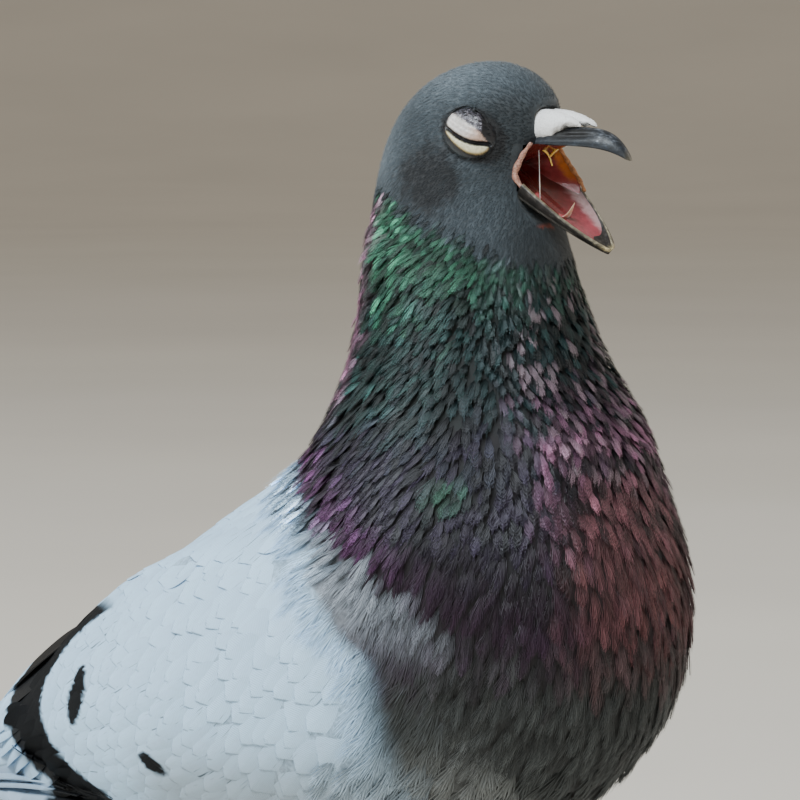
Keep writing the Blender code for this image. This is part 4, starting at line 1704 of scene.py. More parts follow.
        def where(points: Array) -> Array:
            """Behind the soft band, above the belly, ahead of the bare quills."""
            ahead, wide, depth = self._places(points)
            over = Plumage.collar(self.coat.bird.body(points))
            under = depth < self.wing_hem(ahead) + 1.0
            bare = (ahead < Plumage.bar_edge(depth) - 16.0) & (wide > 5.0)
            behind = (over <= 1.5 - Plumage.band_width(ahead)) & (ahead <= 10.0)
            return (behind & ~under & ~bare).astype(float)

        self.coat.grow("coverts", covert, where, pale.make(), "wing_coverts")


# ---- wings and tail


@dataclass
class Quills:
    """The long feathers of the wings and the tail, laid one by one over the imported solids."""

    bird: Bird
    plumage: Plumage
    unwrap: Unwrap
    skin: BVHTree
    rows: list[tuple] = field(init=False, default_factory=list)

    TAIL_PAIRS = 6
    PATCH = 0.02      # a feather's size on the flat layout
    OUTSIDE = 6.0     # millimetres out from a place, to look for the surface from
    ROOT_DEEP = 3.0   # millimetres by which a root lies below the rest
    CREASE = math.radians(50.0)

    def __post_init__(self) -> None:
        """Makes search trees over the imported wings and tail."""
        self.solids = {"skin": self.skin}
        for node in ("wing_right", "wing_left", "primaries_right", "primaries_left", "tail"):
            maker = bmesh.new()
            maker.from_mesh(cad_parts[node].data)
            self.solids[node] = BVHTree.FromBMesh(maker)
            maker.free()

    def _rest(self, nodes: tuple[str, ...], place: tuple, toward: tuple, over: float) -> tuple[Array, Array]:
        """The spot where a place outside the bird meets its solids.

        Args:
            nodes: the solids it may rest on.
            place: a body place near the surface.
            toward: outward way of the body there.
            over: height over the surface in millimetres.

        Returns:
            The world spot and the outward normal.
        """
        away = np.array(toward, float)
        outside = self.bird.from_body(np.array(place) + away * self.OUTSIDE)[0]
        found = [self.solids[node].find_nearest(Vector(outside)) for node in nodes]
        spot, facing, _, _ = min(found, key=lambda hit: hit[3])
        normal = unit(unit(self.bird.from_body(away) - self.bird.origin) + np.array(facing))[0]
        return np.array(spot) + normal * over * MM, normal

    def _add(self, nodes: tuple[str, ...], root: tuple, tip: tuple, toward: tuple, half: float, over: float,
             rise: float = -0.4) -> None:
        """Notes one long feather between two places on the solids.

        Args:
            nodes: the solids it lies on.
            root: body place of its root.
            tip: body place of its tip.
            toward: outward way of the body.
            half: half width in millimetres.
            over: height over the surface.
            rise: how much higher its middle lies.
        """
        start, normal = self._rest(nodes, root, toward, over - self.ROOT_DEEP)
        middle_place = tuple((np.array(root) + np.array(tip)) / 2)
        middle, _ = self._rest(nodes, middle_place, toward, over + rise)
        end, _ = self._rest(nodes, tip, toward, over + 0.2)
        bend = middle * 2 - (start + end) / 2
        self.rows.append((start, bend, end, normal, half * MM))

    def _lay(self, name: str, vane: Vane, finish: Material, side: float,
             nodes: tuple[str, ...]) -> Piece:
        """Makes a piece of the long feathers noted so far.

        Args:
            name: the piece's name.
            vane: their pattern.
            finish: the material.
            side: -1 for the right, 1 for the left, for the flat layout.
            nodes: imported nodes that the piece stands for.

        Returns:
            The piece.
        """
        line = tuple(np.array([row[part] for row in self.rows]) for part in range(3))
        up = np.array([row[3] for row in self.rows])
        widths = np.array([row[4] for row in self.rows])
        spots = self.unwrap.wing(line[1], side)
        mesh = lay(name, vane, line, (up, up), widths, np.ones((len(widths), 3)), spots, self.PATCH)
        mesh.set_sharp_from_angle(angle=self.CREASE)
        paint(mesh, self.plumage.at(vertex_places(mesh)))
        self.rows.clear()
        return make_piece(name, mesh, [finish], nodes)

    def _wing(self, side_name: str, finish: Material, vane: Vane, broad: Vane) -> None:
        """Primaries, secondaries and tertials of one folded wing.

        Args:
            side_name: right or left.
            finish: the material.
            vane: the primaries' pattern.
            broad: the other quills' pattern.
        """
        side = SIDES[side_name]
        wing, hand = f"wing_{side_name}", f"primaries_{side_name}"
        out = (0.0, side, 0.1)
        for number in range(8):
            share = number / 7
            root = (-62 - 30 * share, side * 22, -153 + 6 * share)
            tip = (-104 - 79 * share, side * (22 - 9 * share), -158.5 - 12 * share ** 1.6)
            self._add((hand, wing), root, tip, out, 5.6 - 0.8 * share, 0.9 * (1 - share))
        self._lay(f"primary_quills_{side_name}", vane, finish, side, (hand,))
        for number in range(11):
            share = number / 10
            deep = -151.0 + 35.0 * share
            root = (float(Plumage.bar_edge(deep)) - 8.0, side * (36 - 16 * share), deep)
            tip = (-104 - 21 * share, side * (27 - 17 * share), -160 + 19 * share ** 1.2)
            self._add(("skin",), root, tip, (0.0, side, 0.25 + 0.6 * share), 5.6, 0.2 + 0.06 * number, 0.2)
        for number in range(3):
            share = number / 2
            root = (-84 - 4 * share, side * (17 - 6 * share), -112 + 3 * share)
            tip = (-122 - 6 * share, side * (10 - 4 * share), -137 + 2.0 * share)
            self._add(("skin",), root, tip, (0.0, 0.6 * side, 0.9), 6.5, 0.9 + 0.1 * number, 0.2)
        self._lay(f"secondary_quills_{side_name}", broad, finish, side, ())

    def _tail(self, finish: Material, vane: Vane) -> None:
        """Twelve tail feathers, the middle pair on top.

        Args:
            finish: the material.
            vane: their pattern.
        """
        for number in range(self.TAIL_PAIRS - 1, -1, -1):
            for side in SIDES.values():
                share = (number + 0.42) / self.TAIL_PAIRS
                root = (-106, side * 7 * share, -140)
                tip = (-203.5 + 4.0 * share ** 2, side * 22.5 * share, -187)
                out = (0.35, 0.12 * side * share, 1.0)
                self._add(("tail", "skin"), root, tip, out, 9.4, -1.0 - 0.2 * number, 0.3)
        self._lay("tail_quills", vane, finish, 1.0, ("tail",))

    def build(self) -> None:
        """Makes the flight and tail feathers."""
        finish = VaneFinish("Long quills", barbs=150.0, slant=22.0, root_shade=0.9, root_end=0.2,
                            edge_shade=0.84, shaft=0.6, barb_depth=0.12, roughness=0.5, sheen=0.0,
                            shine=0.2).make()
        narrow = Vane.blade(8, 40, point=5.0, root=0.5, fold=0.10).thickened(0.05)
        broad = Vane.blade(10, 36, point=4.0, root=0.2, fold=0.04).thickened(0.03)
        square = Vane.blade(10, 44, point=12.0, root=0.5, fold=0.06).thickened(0.04)
        for side_name in SIDES:
            self._wing(side_name, finish, narrow, broad)
        self._tail(finish, square)


# ---- the head's own parts


@dataclass(frozen=True)
class PowderFinish:
    """The dry white powder and grain of the cere."""

    name: str = "Cere powder"

    def make(self) -> Material:
        """The material."""
        nodes = Nodes(self.name)
        grain = nodes.noise(2600.0, 4.0, rough=0.7)
        flakes = nodes.noise(900.0, 3.0)
        colour = nodes.tinted(nodes.ramp(grain, (0.34, 0.80), (0.50, 1.0)))
        height = nodes.maths("ADD", grain, nodes.maths("MULTIPLY", flakes, 1.4))
        nodes.bump(height, 0.7, 0.22)
        return nodes.settle(Base_Color=colour, Roughness=0.9, Specular_IOR_Level=0.2)


@dataclass(frozen=True)
class HornFinish:
    """Dark, glossy horn with fine streaks, painted highlight grains and worn edges."""

    name: str = "Bill horn"
    roughness: float = 0.33

    def make(self) -> Material:
        """The material."""
        nodes = Nodes(self.name)
        streaks = nodes.noise(620.0, 5.0, rough=0.68)
        # Streaks in the horn; the brightest, up to 2.4 times the tint, are also painted highlight grains.
        colour = nodes.tinted(nodes.ramp(streaks, (0.36, 0.35), (0.56, 0.9), (0.72, 2.4)))
        wear = nodes.ramp(streaks, (0.35, self.roughness + 0.2), (0.65, self.roughness))
        nodes.bump(streaks, 0.6, 0.22)
        return nodes.settle(
            Base_Color=colour, Roughness=wear, Specular_IOR_Level=0.4, Coat_Weight=0.05, Coat_Roughness=0.2
        )


@dataclass(frozen=True)
class FleshFinish:
    """Wet or dry bare flesh, coloured by its tint."""

    name: str
    roughness: float = 0.3
    wet: float = 0.5
    grain: float = 800.0
    depth: float = 0.12
    speckle: float = 0.25
    subsurface: float = 0.15

    def make(self) -> Material:
        """The material."""
        nodes = Nodes(self.name)
        spots = nodes.noise(self.grain, 4.0, rough=0.65)
        colour = nodes.tinted(nodes.ramp(spots, (0.3, 1.0 - self.speckle), (0.7, 1.0 + self.speckle)))
        nodes.bump(spots, 0.5, self.depth)
        return nodes.settle(
            Base_Color=colour, Roughness=self.roughness, Coat_Weight=self.wet, Coat_Roughness=0.12,
            Subsurface_Weight=self.subsurface, Subsurface_Radius=(0.0012, 0.0005, 0.0003),
            Subsurface_Scale=1.0
        )


def spline(points: list[tuple], share: float, closed: bool = False) -> Array:
    """A point on a smooth curve through points.

    Args:
        points: the points it passes.
        share: how far along, from 0 to 1.
        closed: whether it runs back to its start.

    Returns:
        The place.
    """
    count = len(points)
    steps = count if closed else count - 1
    spot = min(max(share, 0.0), 0.999999) * steps
    first = int(spot)
    part = spot - first
    if closed:
        picks = [(first + shift) % count for shift in (-1, 0, 1, 2)]
    else:
        picks = [min(max(first + shift, 0), count - 1) for shift in (-1, 0, 1, 2)]
    before, here, after, beyond = (np.array(points[pick], float) for pick in picks)
    return 0.5 * (
        2 * here + (after - before) * part + (2 * before - 5 * here + 4 * after - beyond) * part ** 2
        + (3 * here - before - 3 * after + beyond) * part ** 3
    )


def strand(points: list[tuple], radius: Callable[[float], float], around: int = 8,
           along: int = 24) -> tuple[int, int, Form]:
    """A thin round thread along a smooth curve.

    Args:
        points: head places that the curve passes, in millimetres.
        radius: the radius for a share of the length.
        around: faces round it.
        along: faces along it.

    Returns:
        Its faces round and along, and its form in head places.
    """
    def place(turn: float, share: float) -> Array:
        """The head place on the thread's surface."""
        here = spline(points, share)
        way = unit_of(spline(points, share + 0.01) - spline(points, share - 0.01))
        side = unit_of(np.cross(way, (0.3, 1.0, 0.2)))
        up = np.cross(way, side)
        angle = turn * math.tau
        return here + (side * math.cos(angle) + up * math.sin(angle)) * radius(share)

    return around, along, place


@dataclass
class HeadPart:
    """A part of the head made from bent grids, with its colours and its finish."""

    bird: Bird

    def piece(self, name: str, forms: list[tuple], colour: Field, finish: Material, slot: str,
              nodes: tuple[str, ...] = ()) -> Piece:
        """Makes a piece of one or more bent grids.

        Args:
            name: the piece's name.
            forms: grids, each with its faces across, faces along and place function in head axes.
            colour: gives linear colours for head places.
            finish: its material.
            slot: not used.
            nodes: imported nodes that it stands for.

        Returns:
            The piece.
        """
        whole = bmesh.new()
        for around, along, place in forms:
            part = shaped(around, along, lambda u, v: self.bird.from_head(place(u, v))[0])
            whole.from_mesh(to_mesh(part, name))
        mesh = to_mesh(whole, name)
        paint(mesh, colour(self.bird.head(vertex_places(mesh))))
        return make_piece(name, mesh, [finish], nodes)


@dataclass
class Lids(HeadPart):
    """The closed lids over one eye: a domed upper lid, a slit and a raised lower lid."""

    side: float = -1.0
    centre_ahead: float = 9.9
    centre_depth: float = -14.9
    reach: float = 7.4
    rows: int = 72
    columns: int = 96

    FACE_STATIONS = ((-30, -21.6, -16.5, -12.3, -8.0, -4.0), (13.6, 13.4, 13.0, 12.2, 10.6, 7.9))
    FACE_MIDDLE, FACE_HALF = 3.7, 19.7

    def _face(self, ahead: float, depth: float) -> float:
        """Half width of the face without its down, at a forward place and a depth."""
        wide = float(np.interp(depth, *self.FACE_STATIONS))
        return wide * math.sqrt(max(0.0, 1.0 - ((ahead - self.FACE_MIDDLE) / self.FACE_HALF) ** 2)) - 0.75

    @staticmethod
    def slit(across: Array) -> Array:
        """Height of the line where the lids meet."""
        away = across - 2.2
        return -1.95 + np.where(away < 0, 0.055, -0.06) * away ** 2

    @staticmethod
    def lower_edge(across: Array) -> Array:
        """Height of the lower lid's lower edge."""
        away = across - 1.4
        return -4.35 + np.where(away < 0, 0.098, 0.085) * away ** 2 + 0.006 * np.maximum(away, 0.0) ** 4

    @staticmethod
    def _drawn(across: Array) -> Array:
        """Places across, drawn back a little in the middle by the ball beneath."""
        return across - 1.25 * (1.0 - (across / 6.7) ** 2)

    def _relief(self, across: Array, up: Array) -> Array:
        """Height in millimetres of the lids over the face.

        Args:
            across: forward places from the lids' middle.
            up: heights above it.

        Returns:
            One height for each place.
        """
        round_it = (across / 6.7) ** 2 + (up / 5.9) ** 2
        dome = 1.80 * np.clip(1.0 - round_it, 0.0, 1.0) ** 0.8 - 1.3 * smooth(0.80, 1.3, round_it)
        outer = Plumage.round_eye(np.stack((across + 9.9, across, up - 14.8), axis=1))
        dome -= 1.3 * smooth(0.94, 1.34, outer)
        across = self._drawn(across)
        over = up - self.slit(across)
        upper = smooth(0.1, 0.9, over) * smooth(5.6, 3.2, np.hypot(across + 1.6, up - 1.0))
        lower = smooth(-0.15, -0.7, over) * smooth(-0.3, 0.5, up - self.lower_edge(across))
        ends = smooth(-5.9, -4.6, across) * smooth(5.4, 4.2, across)
        groove = -0.75 * np.exp(-((over / 0.38) ** 2)) * ends
        folds = 0.05 * np.sin(over * 5.0 + 0.5 * across) * upper
        return dome + 0.5 * upper + (0.55 * lower + groove) * ends + folds

    def _colour(self, across: Array, up: Array) -> Array:
        """Dark rims, a pale lens with a speckled cap, and a cream lower lid.

        Args:
            across: forward places from the lids' middle.
            up: heights above it.

        Returns:
            One linear colour for each place.
        """
        ring = (across / 6.5) ** 2 + (up / 5.6) ** 2
        across = self._drawn(across)
        flat = np.stack((across, up, np.zeros_like(up)), axis=1)
        grain = ripple(flat, 0.42, 51)
        soft = ripple(flat, 1.6, 52)
        over = up - self.slit(across)
        colour = layered(len(up), Tint.LID_SLIT)
        rim = smooth(0.74, 1.02, ring + 0.10 * soft)
        below = smooth(-0.25, -1.1, up - self.lower_edge(across) + 0.2 * grain)
        colour = blend(colour, Plumage.LORES * 0.7, np.maximum(rim, below))
        cap = smooth(1.04, 0.97, np.hypot((across + 1.5) / 4.0, (up - 0.9) / 4.15) + 0.04 * grain)
        lens = smooth(-5.35, -4.85, across - 0.06 * (up - 2.0) ** 2)
        border = 1.5 - 0.55 * across - 0.35 * np.maximum(across - 1.5, 0.0) ** 1.5 + 0.30 * grain
        speckled = cap * smooth(-0.3, 0.3, up - border)
        colour = blend(colour, Tint.LID_GREY.linear, speckled * 0.8)
        colour = blend(colour, Tint.LID_SPECK.linear, speckled * smooth(0.15, 0.65, grain) * 0.85)
        pale = lens * smooth(0.35, -0.25, up - border) * smooth(0.38, 0.62, over + 0.10 * grain)
        tone = layered(len(up), Tint.LID_PALE, (Tint.LID_ROSY, smooth(-2.5, 2.6, across - 0.8 * up)))
        tone = tone * (1.0 + 0.10 * soft + 0.08 * np.sin(over * 7.0))[:, None]
        colour = blend(colour, tone, pale * smooth(4.3, 3.7, across))
        band = smooth(-0.42, -0.66, over + 0.08 * grain)
        band = band * smooth(-0.05, 0.35, up - self.lower_edge(across) + 0.15 * grain)
        band = band * smooth(-5.5, -4.9, across) * smooth(4.5, 3.9, across)
        low = smooth(0.9, 0.2, up - self.lower_edge(across))
        cream = layered(len(up), Tint.LID_CREAM, (Tint.LID_OCHRE, low * 0.8))
        return blend(colour, cream, band)

    def build(self, finish: Material) -> Piece:
        """Makes the lids of one eye.

        Args:
            finish: the material of bare lid skin.

        Returns:
            The piece.
        """
        maker = bmesh.new()
        bmesh.ops.create_grid(maker, x_segments=self.columns, y_segments=self.rows, size=1.0)
        flat = np.array([vert.co for vert in maker.verts])
        around = np.hypot(flat[:, 0], flat[:, 1])
        square = np.maximum(np.abs(flat[:, 0]), np.abs(flat[:, 1]))
        scale = self.reach * square / np.maximum(around, 1e-6)
        across, up = flat[:, 0] * scale, flat[:, 1] * scale * 0.88
        relief = self._relief(across, up)
        lean = math.radians(19.0)
        places = []
        for part, height, rise in zip(across, up, relief):
            ahead = self.centre_ahead + part * math.cos(lean) + rise * math.sin(lean)
            base = self._face(self.centre_ahead + part * math.cos(lean), self.centre_depth + height)
            places.append((ahead, self.side * (base + rise * math.cos(lean)), self.centre_depth + height))
        for vert, place in zip(maker.verts, self.bird.from_head(np.array(places))):
            vert.co = place
        if self.side > 0:
            bmesh.ops.reverse_faces(maker, faces=maker.faces)
        name = "lids_" + ("right" if self.side < 0 else "left")
        mesh = to_mesh(maker, name)
        paint(mesh, self._colour(across, up))
        return make_piece(name, mesh, [finish])


@dataclass
class Bill(HeadPart):
    """Both halves of the horny bill and the cere."""

    upper_root: float = 21.5
    upper_tip: float = 41.0
    lower_root: tuple = (20.6, -25.2)
    lower_tip: tuple = (36.4, -37.7)
    gape_half: float = 7.3
    roll: float = 2.6

    def upper_section(self, part: float) -> tuple[float, float, float, float]:
        """The upper bill's section at a part of its length.

        Args:
            part: how far along it, from 0 at the root to 1.

        Returns:
            Forward place, depth of the top, depth of the edge, and half width.
        """
        forward = self.upper_root + (self.upper_tip - self.upper_root) * part
        top = -13.6 - 1.1 * max(0.0, 1 - part / 0.34) - 6.3 * part ** 6
        bottom = min(-17.3 - 0.5 * part - 2.6 * part ** 5, top - 0.5)
        return forward, top, bottom, 4.7 - 1.6 * part - 2.3 * part ** 3

    def _upper(self, turn: float, share: float) -> tuple:
        """The upper bill: round above, with a sharp cutting edge and a hollow palate.

        Args:
            turn: share round it, from 0 to 1.
            share: share along it, from 0 to 1.

        Returns:
            A head place on it.
        """
        part = 0.5 - 0.5 * math.cos(share * math.pi)
        forward, top, bottom, half = self.upper_section(part)
        close = math.sqrt(max(0.0, 1 - max(0.0, (part - 0.955) / 0.045) ** 2)) * min(1.0, share / 0.01)
        angle = turn * math.tau
        side = math.sin(angle)
        level = math.cos(angle)
        height = top - bottom
        if level >= -0.25:
            across = math.copysign(abs(side) ** 0.85, side)
            depth = bottom + height * ((level + 0.25) / 1.25) ** 0.95
        else:
            across = side * 1.02
            depth = bottom + 0.9 * height * ((-level - 0.25) / 0.75) ** 0.5 * 0.5
        across *= half * (1.0 - 0.13 * max(0.0, level))
        groove = math.exp(-(((depth + 15.4 - 0.03 * (forward - 28)) / 0.5) ** 2))
        groove = math.exp(-(((forward - 29.5) / 4.2) ** 4)) * groove
        across -= math.copysign(0.55 * groove, side)
        middle = (top + bottom) / 2 if part > 0.9 else bottom + 0.4 * height
        return forward, across * close, middle + (depth - middle) * close

    @staticmethod
    def _upper_colour(places: Array) -> Array:
        """Blue-black horn, paler along the edges and in the hook, with painted highlight grains ahead of the
        nostril, and black painted shade in the nostril's slit.

        Args:
            places: head places, one per row.

        Returns:
            One linear colour for each place.
        """
        ahead, aside, depth = places.T
        soft = ripple(places, 2.0, 61)
        grain = ripple(places, 0.7, 66)
        edge = smooth(-16.6, -17.3, depth + 0.035 * (ahead - 22)) * smooth(38, 30, ahead)
        # Painted highlight grains on the horn ahead of the nostril.
        sheen = smooth(31.0, 34.5, ahead) * smooth(-17.4, -15.6, depth)
        # The nostril's slit is painted black: painted shade in its opening.
        slot = np.exp(-(((ahead - 28.2) / 5.0) ** 4)) * np.exp(-(((depth + 14.9) / 1.15) ** 2))
        slot = slot * smooth(1.0, 2.0, np.abs(aside))
        return layered(
            len(places), Tint.HORN,
            (Tint.HORN_BLUE, smooth(0.1, 0.9, soft) * 0.45),
            (Tint.HORN_EDGE, edge * 0.6),
            (Tint.HORN_TIP, smooth(39.6, 41.0, ahead) * 0.6),
            (Tint.HORN_HIGHLIGHT, sheen * smooth(0.15, 0.7, grain) * 0.6),
            (Tint.NOSTRIL, np.clip(slot * 1.3, 0, 1)),
        )

    def jaw(self, part: float, across: float, lift: float) -> tuple:
        """A spot in or on the lower bill.

        Args:
            part: how far along it, from 0 at the root to 1.
            across: how far across, in half widths.
            lift: millimetres above its rim.

        Returns:
            The head place.
        """
        start, end = np.array(self.lower_root), np.array(self.lower_tip)
        way = (end - start) / np.linalg.norm(end - start)
        half = self.gape_half * math.sqrt(max(0.0, 1 - max(0.0, part) ** 1.7)) + 0.35
        lift += self.roll * (1 + across) / 2 * (1 - max(0.0, part))
        point = start + (end - start) * part + np.array((-way[1], way[0])) * lift
        return point[0], half * across, point[1]

    def _lower(self, turn: float, share: float) -> tuple:
        """The lower bill: a trough with thin, rolled rims.

        Args:
            turn: share round it, from 0 to 1.
            share: share along it, from 0 to 1.

        Returns:
            A head place on it.
        """
        part = -0.02 + 1.02 * share
        deep = 4.3 * (1 - share) + 1.2
        level = abs(2.0 * turn - 1.0)
        sign = 1.0 if turn >= 0.5 else -1.0
        if level <= 0.58:
            swing = level / 0.58 * math.pi / 2
            return self.jaw(part, sign * math.sin(swing) ** 0.8, -deep * math.cos(swing) ** 1.2)
        swing = (1 - level) / 0.42 * math.pi / 2
        wall = 0.075 + 0.5 * share ** 6
        return self.jaw(part, sign * math.sin(swing) * (1 - wall), -deep * 0.72 * math.cos(swing) + 0.15)

    def _lower_colour(self, places: Array) -> Array:
        """Brown-black horn with cream edges, a yellow-cream tip and a thin painted highlight line along the
        wall.

        Args:
            places: head places, one per row.

        Returns:
            One linear colour for each place.
        """
        start, end = np.array(self.lower_root), np.array(self.lower_tip)
        way = (end - start) / np.linalg.norm(end - start)
        away = places[:, [0, 2]] - start
        part = away @ way / np.linalg.norm(end - start)
        half = self.gape_half * np.sqrt(np.maximum(0.0, 1 - np.maximum(0.0, part) ** 1.7)) + 0.35
        tilt = self.roll * (1 + np.clip(places[:, 1] / half, -1, 1)) / 2 * (1 - np.maximum(0.0, part))
        lift = away @ np.array((-way[1], way[0])) - tilt
        soft = ripple(places, 1.2, 62)
        rim = smooth(-0.16, 0.08, lift + 0.05 * soft)
        # A thin painted highlight line along the wall of the lower bill.
        line = np.exp(-(((lift + 2.9 * (1 - part) + 0.35) / 0.22) ** 2)) * smooth(0.75, 0.5, part)
        tip = smooth(0.90, 0.99, part + 0.04 * soft) * smooth(-0.9, -0.1, lift)
        return layered(
            len(places), Tint.JAW_HORN,
            (Tint.JAW_GREY, smooth(0.2, 0.9, soft) * 0.5),
            (Tint.JAW_RIM, rim * 0.75),
            (Tint.JAW_HIGHLIGHT, line * 0.7),
            (Tint.JAW_TIP, tip),
        )

    def _lobe(self, sign: float) -> Form:
        """One swollen half of the cere.

        Args:
            sign: -1 for the right half, 1 for the left.

        Returns:
            Its form in head places.
        """
        def place(turn: float, share: float) -> tuple:
            """A head place on the lobe."""
            part = 0.5 - 0.5 * math.cos(share * math.pi)
            angle = turn * math.tau
            ahead = 18.6 + 13.4 * part
            if sign < 0:
                ahead -= part * (4.2 - 2.4 * (0.5 + 0.5 * math.cos(angle)))
            swell = math.sin(math.pi * min(part, 1.0) ** 0.58) ** 0.55 if 0 < part < 1 else 0.0
            top = -13.6 + 3.45 * swell
            rise = smooth(0.52, 0.95, part) if sign < 0 else smooth(0.34, 0.66, part)
            bottom = -16.4 + 3.0 * rise + 0.22 * math.sin(part * 37)
            bottom = min(bottom, top)
            bottom += (1 - swell) * (0.6 if part < 0.5 else 0.0)
            middle, half = (top + bottom) / 2, (top - bottom) / 2
            wide = 2.75 * swell ** 0.8
            lean = 0.35 * math.cos(angle)
            aside = sign * (2.15 - 0.7 * part + wide * (math.sin(angle) - lean * 0.3))
            return ahead, aside, middle + half * math.cos(angle)

        return place

    @staticmethod
    def _cere_colour(places: Array) -> Array:
        """Chalk white, with tan grains low down and at the root.

        Args:
            places: head places, one per row.

        Returns:
            One linear colour for each place.
        """
        grain = ripple(places, 0.5, 63)
        low = smooth(-13.6, -16.4, places[:, 2])
        root = smooth(22.0, 20.4, places[:, 0])
        return layered(
            len(places), Tint.CHALK,
            (Tint.CERE_TAN, low * smooth(0.1, 0.7, grain) * 0.8),
            (Tint.CERE_ROOT, root * 0.25),
        )

    def build(self) -> None:
        """Makes the bill's pieces."""
        horn = HornFinish().make()
        halves = (
            ("upper_bill", (64, 60, self._upper), self._upper_colour),
            ("lower_bill", (72, 48, self._lower), self._lower_colour),
        )
        for node, form, colour in halves:
            self.piece(node + "_horn", [form], colour, horn, "horn", (node,))
        cere = self.piece("cere_lobes", [(56, 48, self._lobe(sign)) for sign in SIDES.values()],
                          self._cere_colour, PowderFinish().make(), "cere", ("cere",))
        places, normals = vertex_places(cere.data), vertex_normals(cere.data)
        grain = ripple(self.bird.head(places), 0.55, 64) + 0.8 * ripple(self.bird.head(places), 1.4, 65)
        set_places(cere.data, places + normals * (grain * 0.07 * MM)[:, None])


@dataclass
class Mouth(HeadPart):
    """The wet inside of the open mouth, its corners, the tongue and the threads of saliva."""

    bill: Bill | None = None

    GAPE = [
        (26.5, 0.0, -17.3), (24.6, -4.3, -17.2), (21.5, -6.5, -17.2), (19.2, -6.9, -20.6),
        (18.3, -7.0, -23.2), (20.1, -6.8, -25.6), (22.8, -4.8, -30.0), (24.0, 0.0, -31.0),
        (24.8, 4.8, -29.6), (24.8, 7.0, -24.9), (22.5, 7.4, -22.0), (20.9, 7.4, -19.8),
        (19.6, 6.8, -17.3), (24.0, 4.2, -17.2),
    ]
    CORNERS = {
        -1.0: [(21.9, -6.5, -16.7), (20.5, -6.8, -18.5), (19.3, -7.0, -20.6), (18.4, -7.1, -23.1),
               (19.8, -7.1, -25.3), (21.3, -6.9, -26.6)],
        1.0: [(26.0, 6.7, -26.6), (24.7, 7.1, -24.6), (22.5, 7.4, -22.0), (20.9, 7.4, -19.8),
              (19.3, 7.0, -17.2)],
    }
    RIM_RIGHT = (-26.6, -25.3, -23.1, -20.6, -18.5, -16.7), (21.2, 19.7, 18.3, 19.2, 20.4, 21.8)
    RIM_LEFT = (-26.6, -24.6, -22.0, -19.8, -17.4), (26.0, 24.6, 22.4, 20.8, 19.3)
    THROAT = np.array((9.5, 0.3, -22.5))
    TONGUE = [(19.5, 0, -27.2), (22.5, -0.3, -30.0), (26.2, -0.6, -31.4), (28.5, -0.9, -28.5)]

    def _bag(self, turn: float, share: float) -> Array:
        """The lining, from the gape's edge back into the throat."""
        edge = spline(self.GAPE, turn, closed=True)
        return edge + (self.THROAT - edge) * share ** 1.15

    @staticmethod
    def _lining_colour(places: Array) -> Array:
        """Maroon at the back, darkened towards the throat as painted shade, red and pink in front, orange at
        the left corner and dark above.

        Args:
            places: head places, one per row.

        Returns:
            One linear colour for each place.
        """
        ahead, aside, depth = places.T
        soft = ripple(places, 2.6, 71)
        front = ahead + soft
        glow = smooth(14.5, 19.5, front) * smooth(1.5, 5.0, aside)
        rim = np.interp(depth, *Mouth.RIM_LEFT) - ahead + 0.5 * soft
        edge = smooth(2.6, 1.2, rim) * smooth(3.5, 5.5, aside) * smooth(-25.6, -23.0, depth)
        top = smooth(-19.6, -18.0, depth + 0.3 * soft) * smooth(16, 20, ahead) * (1.0 - edge)
        return layered(
            len(places), Tint.MAROON,
            # Painted shade: darker deep in the throat.
            (Tint.THROAT, smooth(17.5, 12.5, front)),
            (Tint.RED, smooth(17.0, 22.0, front) * smooth(-20, -25, depth)),
            (Tint.PINK, smooth(21.0, 25.0, front) * smooth(-23, -27, depth) * 0.8),
            (Tint.GLOW, glow * smooth(-18.5, -21.5, depth) * 0.8),
            (Tint.ORANGE, edge),
            (Tint.GOLD, edge * smooth(0.1, 0.8, soft) * 0.7),
            (Tint.PALATE, top * 0.8),
        )

    def _floor(self, turn: float, share: float) -> tuple:
        """The soft floor in the trough of the lower bill.

        Args:
            turn: share round it, from 0 to 1.
            share: share along it, from 0 to 1.

        Returns:
            A head place on it.
        """
        across = 2.0 * turn - 1.0
        part = -0.42 + 1.32 * share
        deep = 2.4 * (1 - max(0.0, part)) + 0.7
        ridge = 0.35 * math.exp(-((across / 0.16) ** 2)) * (1 - share)
        lift = -deep * (1 - abs(across) ** 2.2) - 0.18 + ridge
        return self.bill.jaw(part, across * 0.93, lift)

    @staticmethod
    def _floor_colour(places: Array) -> Array:
        """Deep red behind, pink in front, with a pale band along each wall.

        Args:
            places: head places, one per row.

        Returns:
            One linear colour for each place.
        """
        ahead, aside, _ = places.T
        soft = ripple(places, 2.2, 72)
        front = smooth(22.5, 30.5, ahead + 1.2 * soft)
        wall = smooth(4.8, 6.6, np.abs(aside) + 0.20 * (ahead - 22) + 0.4 * soft)
        return layered(len(places), Tint.FLOOR_RED, (Tint.FLOOR_PINK, front), (Tint.FLOOR_PALE, wall * 0.65))

    def _corner(self, side: float) -> tuple[int, int, Form]:
        """The rolled, bumpy skin round one corner of the mouth.

        Args:
            side: -1 for the right, 1 for the left.

        Returns:
            Its faces round and along, and its form in head places.
        """
        swell = 0.34 if side < 0 else 0.16

        def thick(share: float) -> float:
            """The roll's radius."""
            return 0.32 + swell * math.sin(math.pi * share) ** 1.6 + 0.07 * math.sin(share * 31.0)

        return strand(self.CORNERS[side], thick, around=14, along=54)

    @staticmethod
    def _corner_colour(places: Array) -> Array:
        """Pinkish tan with brown and grey grains, and orange at the left corner.

        Args:
            places: head places, one per row.

        Returns:
            One linear colour for each place.
        """
        grain = ripple(places, 0.6, 73)
        far = smooth(0.0, 2.0, places[:, 1])
        return layered(
            len(places), Tint.CORNER_TAN,
            (Tint.CORNER_BROWN, smooth(0.0, 0.6, grain) * 0.8),
            (Tint.CORNER_GREY, smooth(0.3, 0.9, -grain) * 0.5),
            (Tint.CORNER_ORANGE, far * 0.8),
            (Tint.CORNER_DARK, far * smooth(0.2, 0.8, grain) * 0.7),
        )

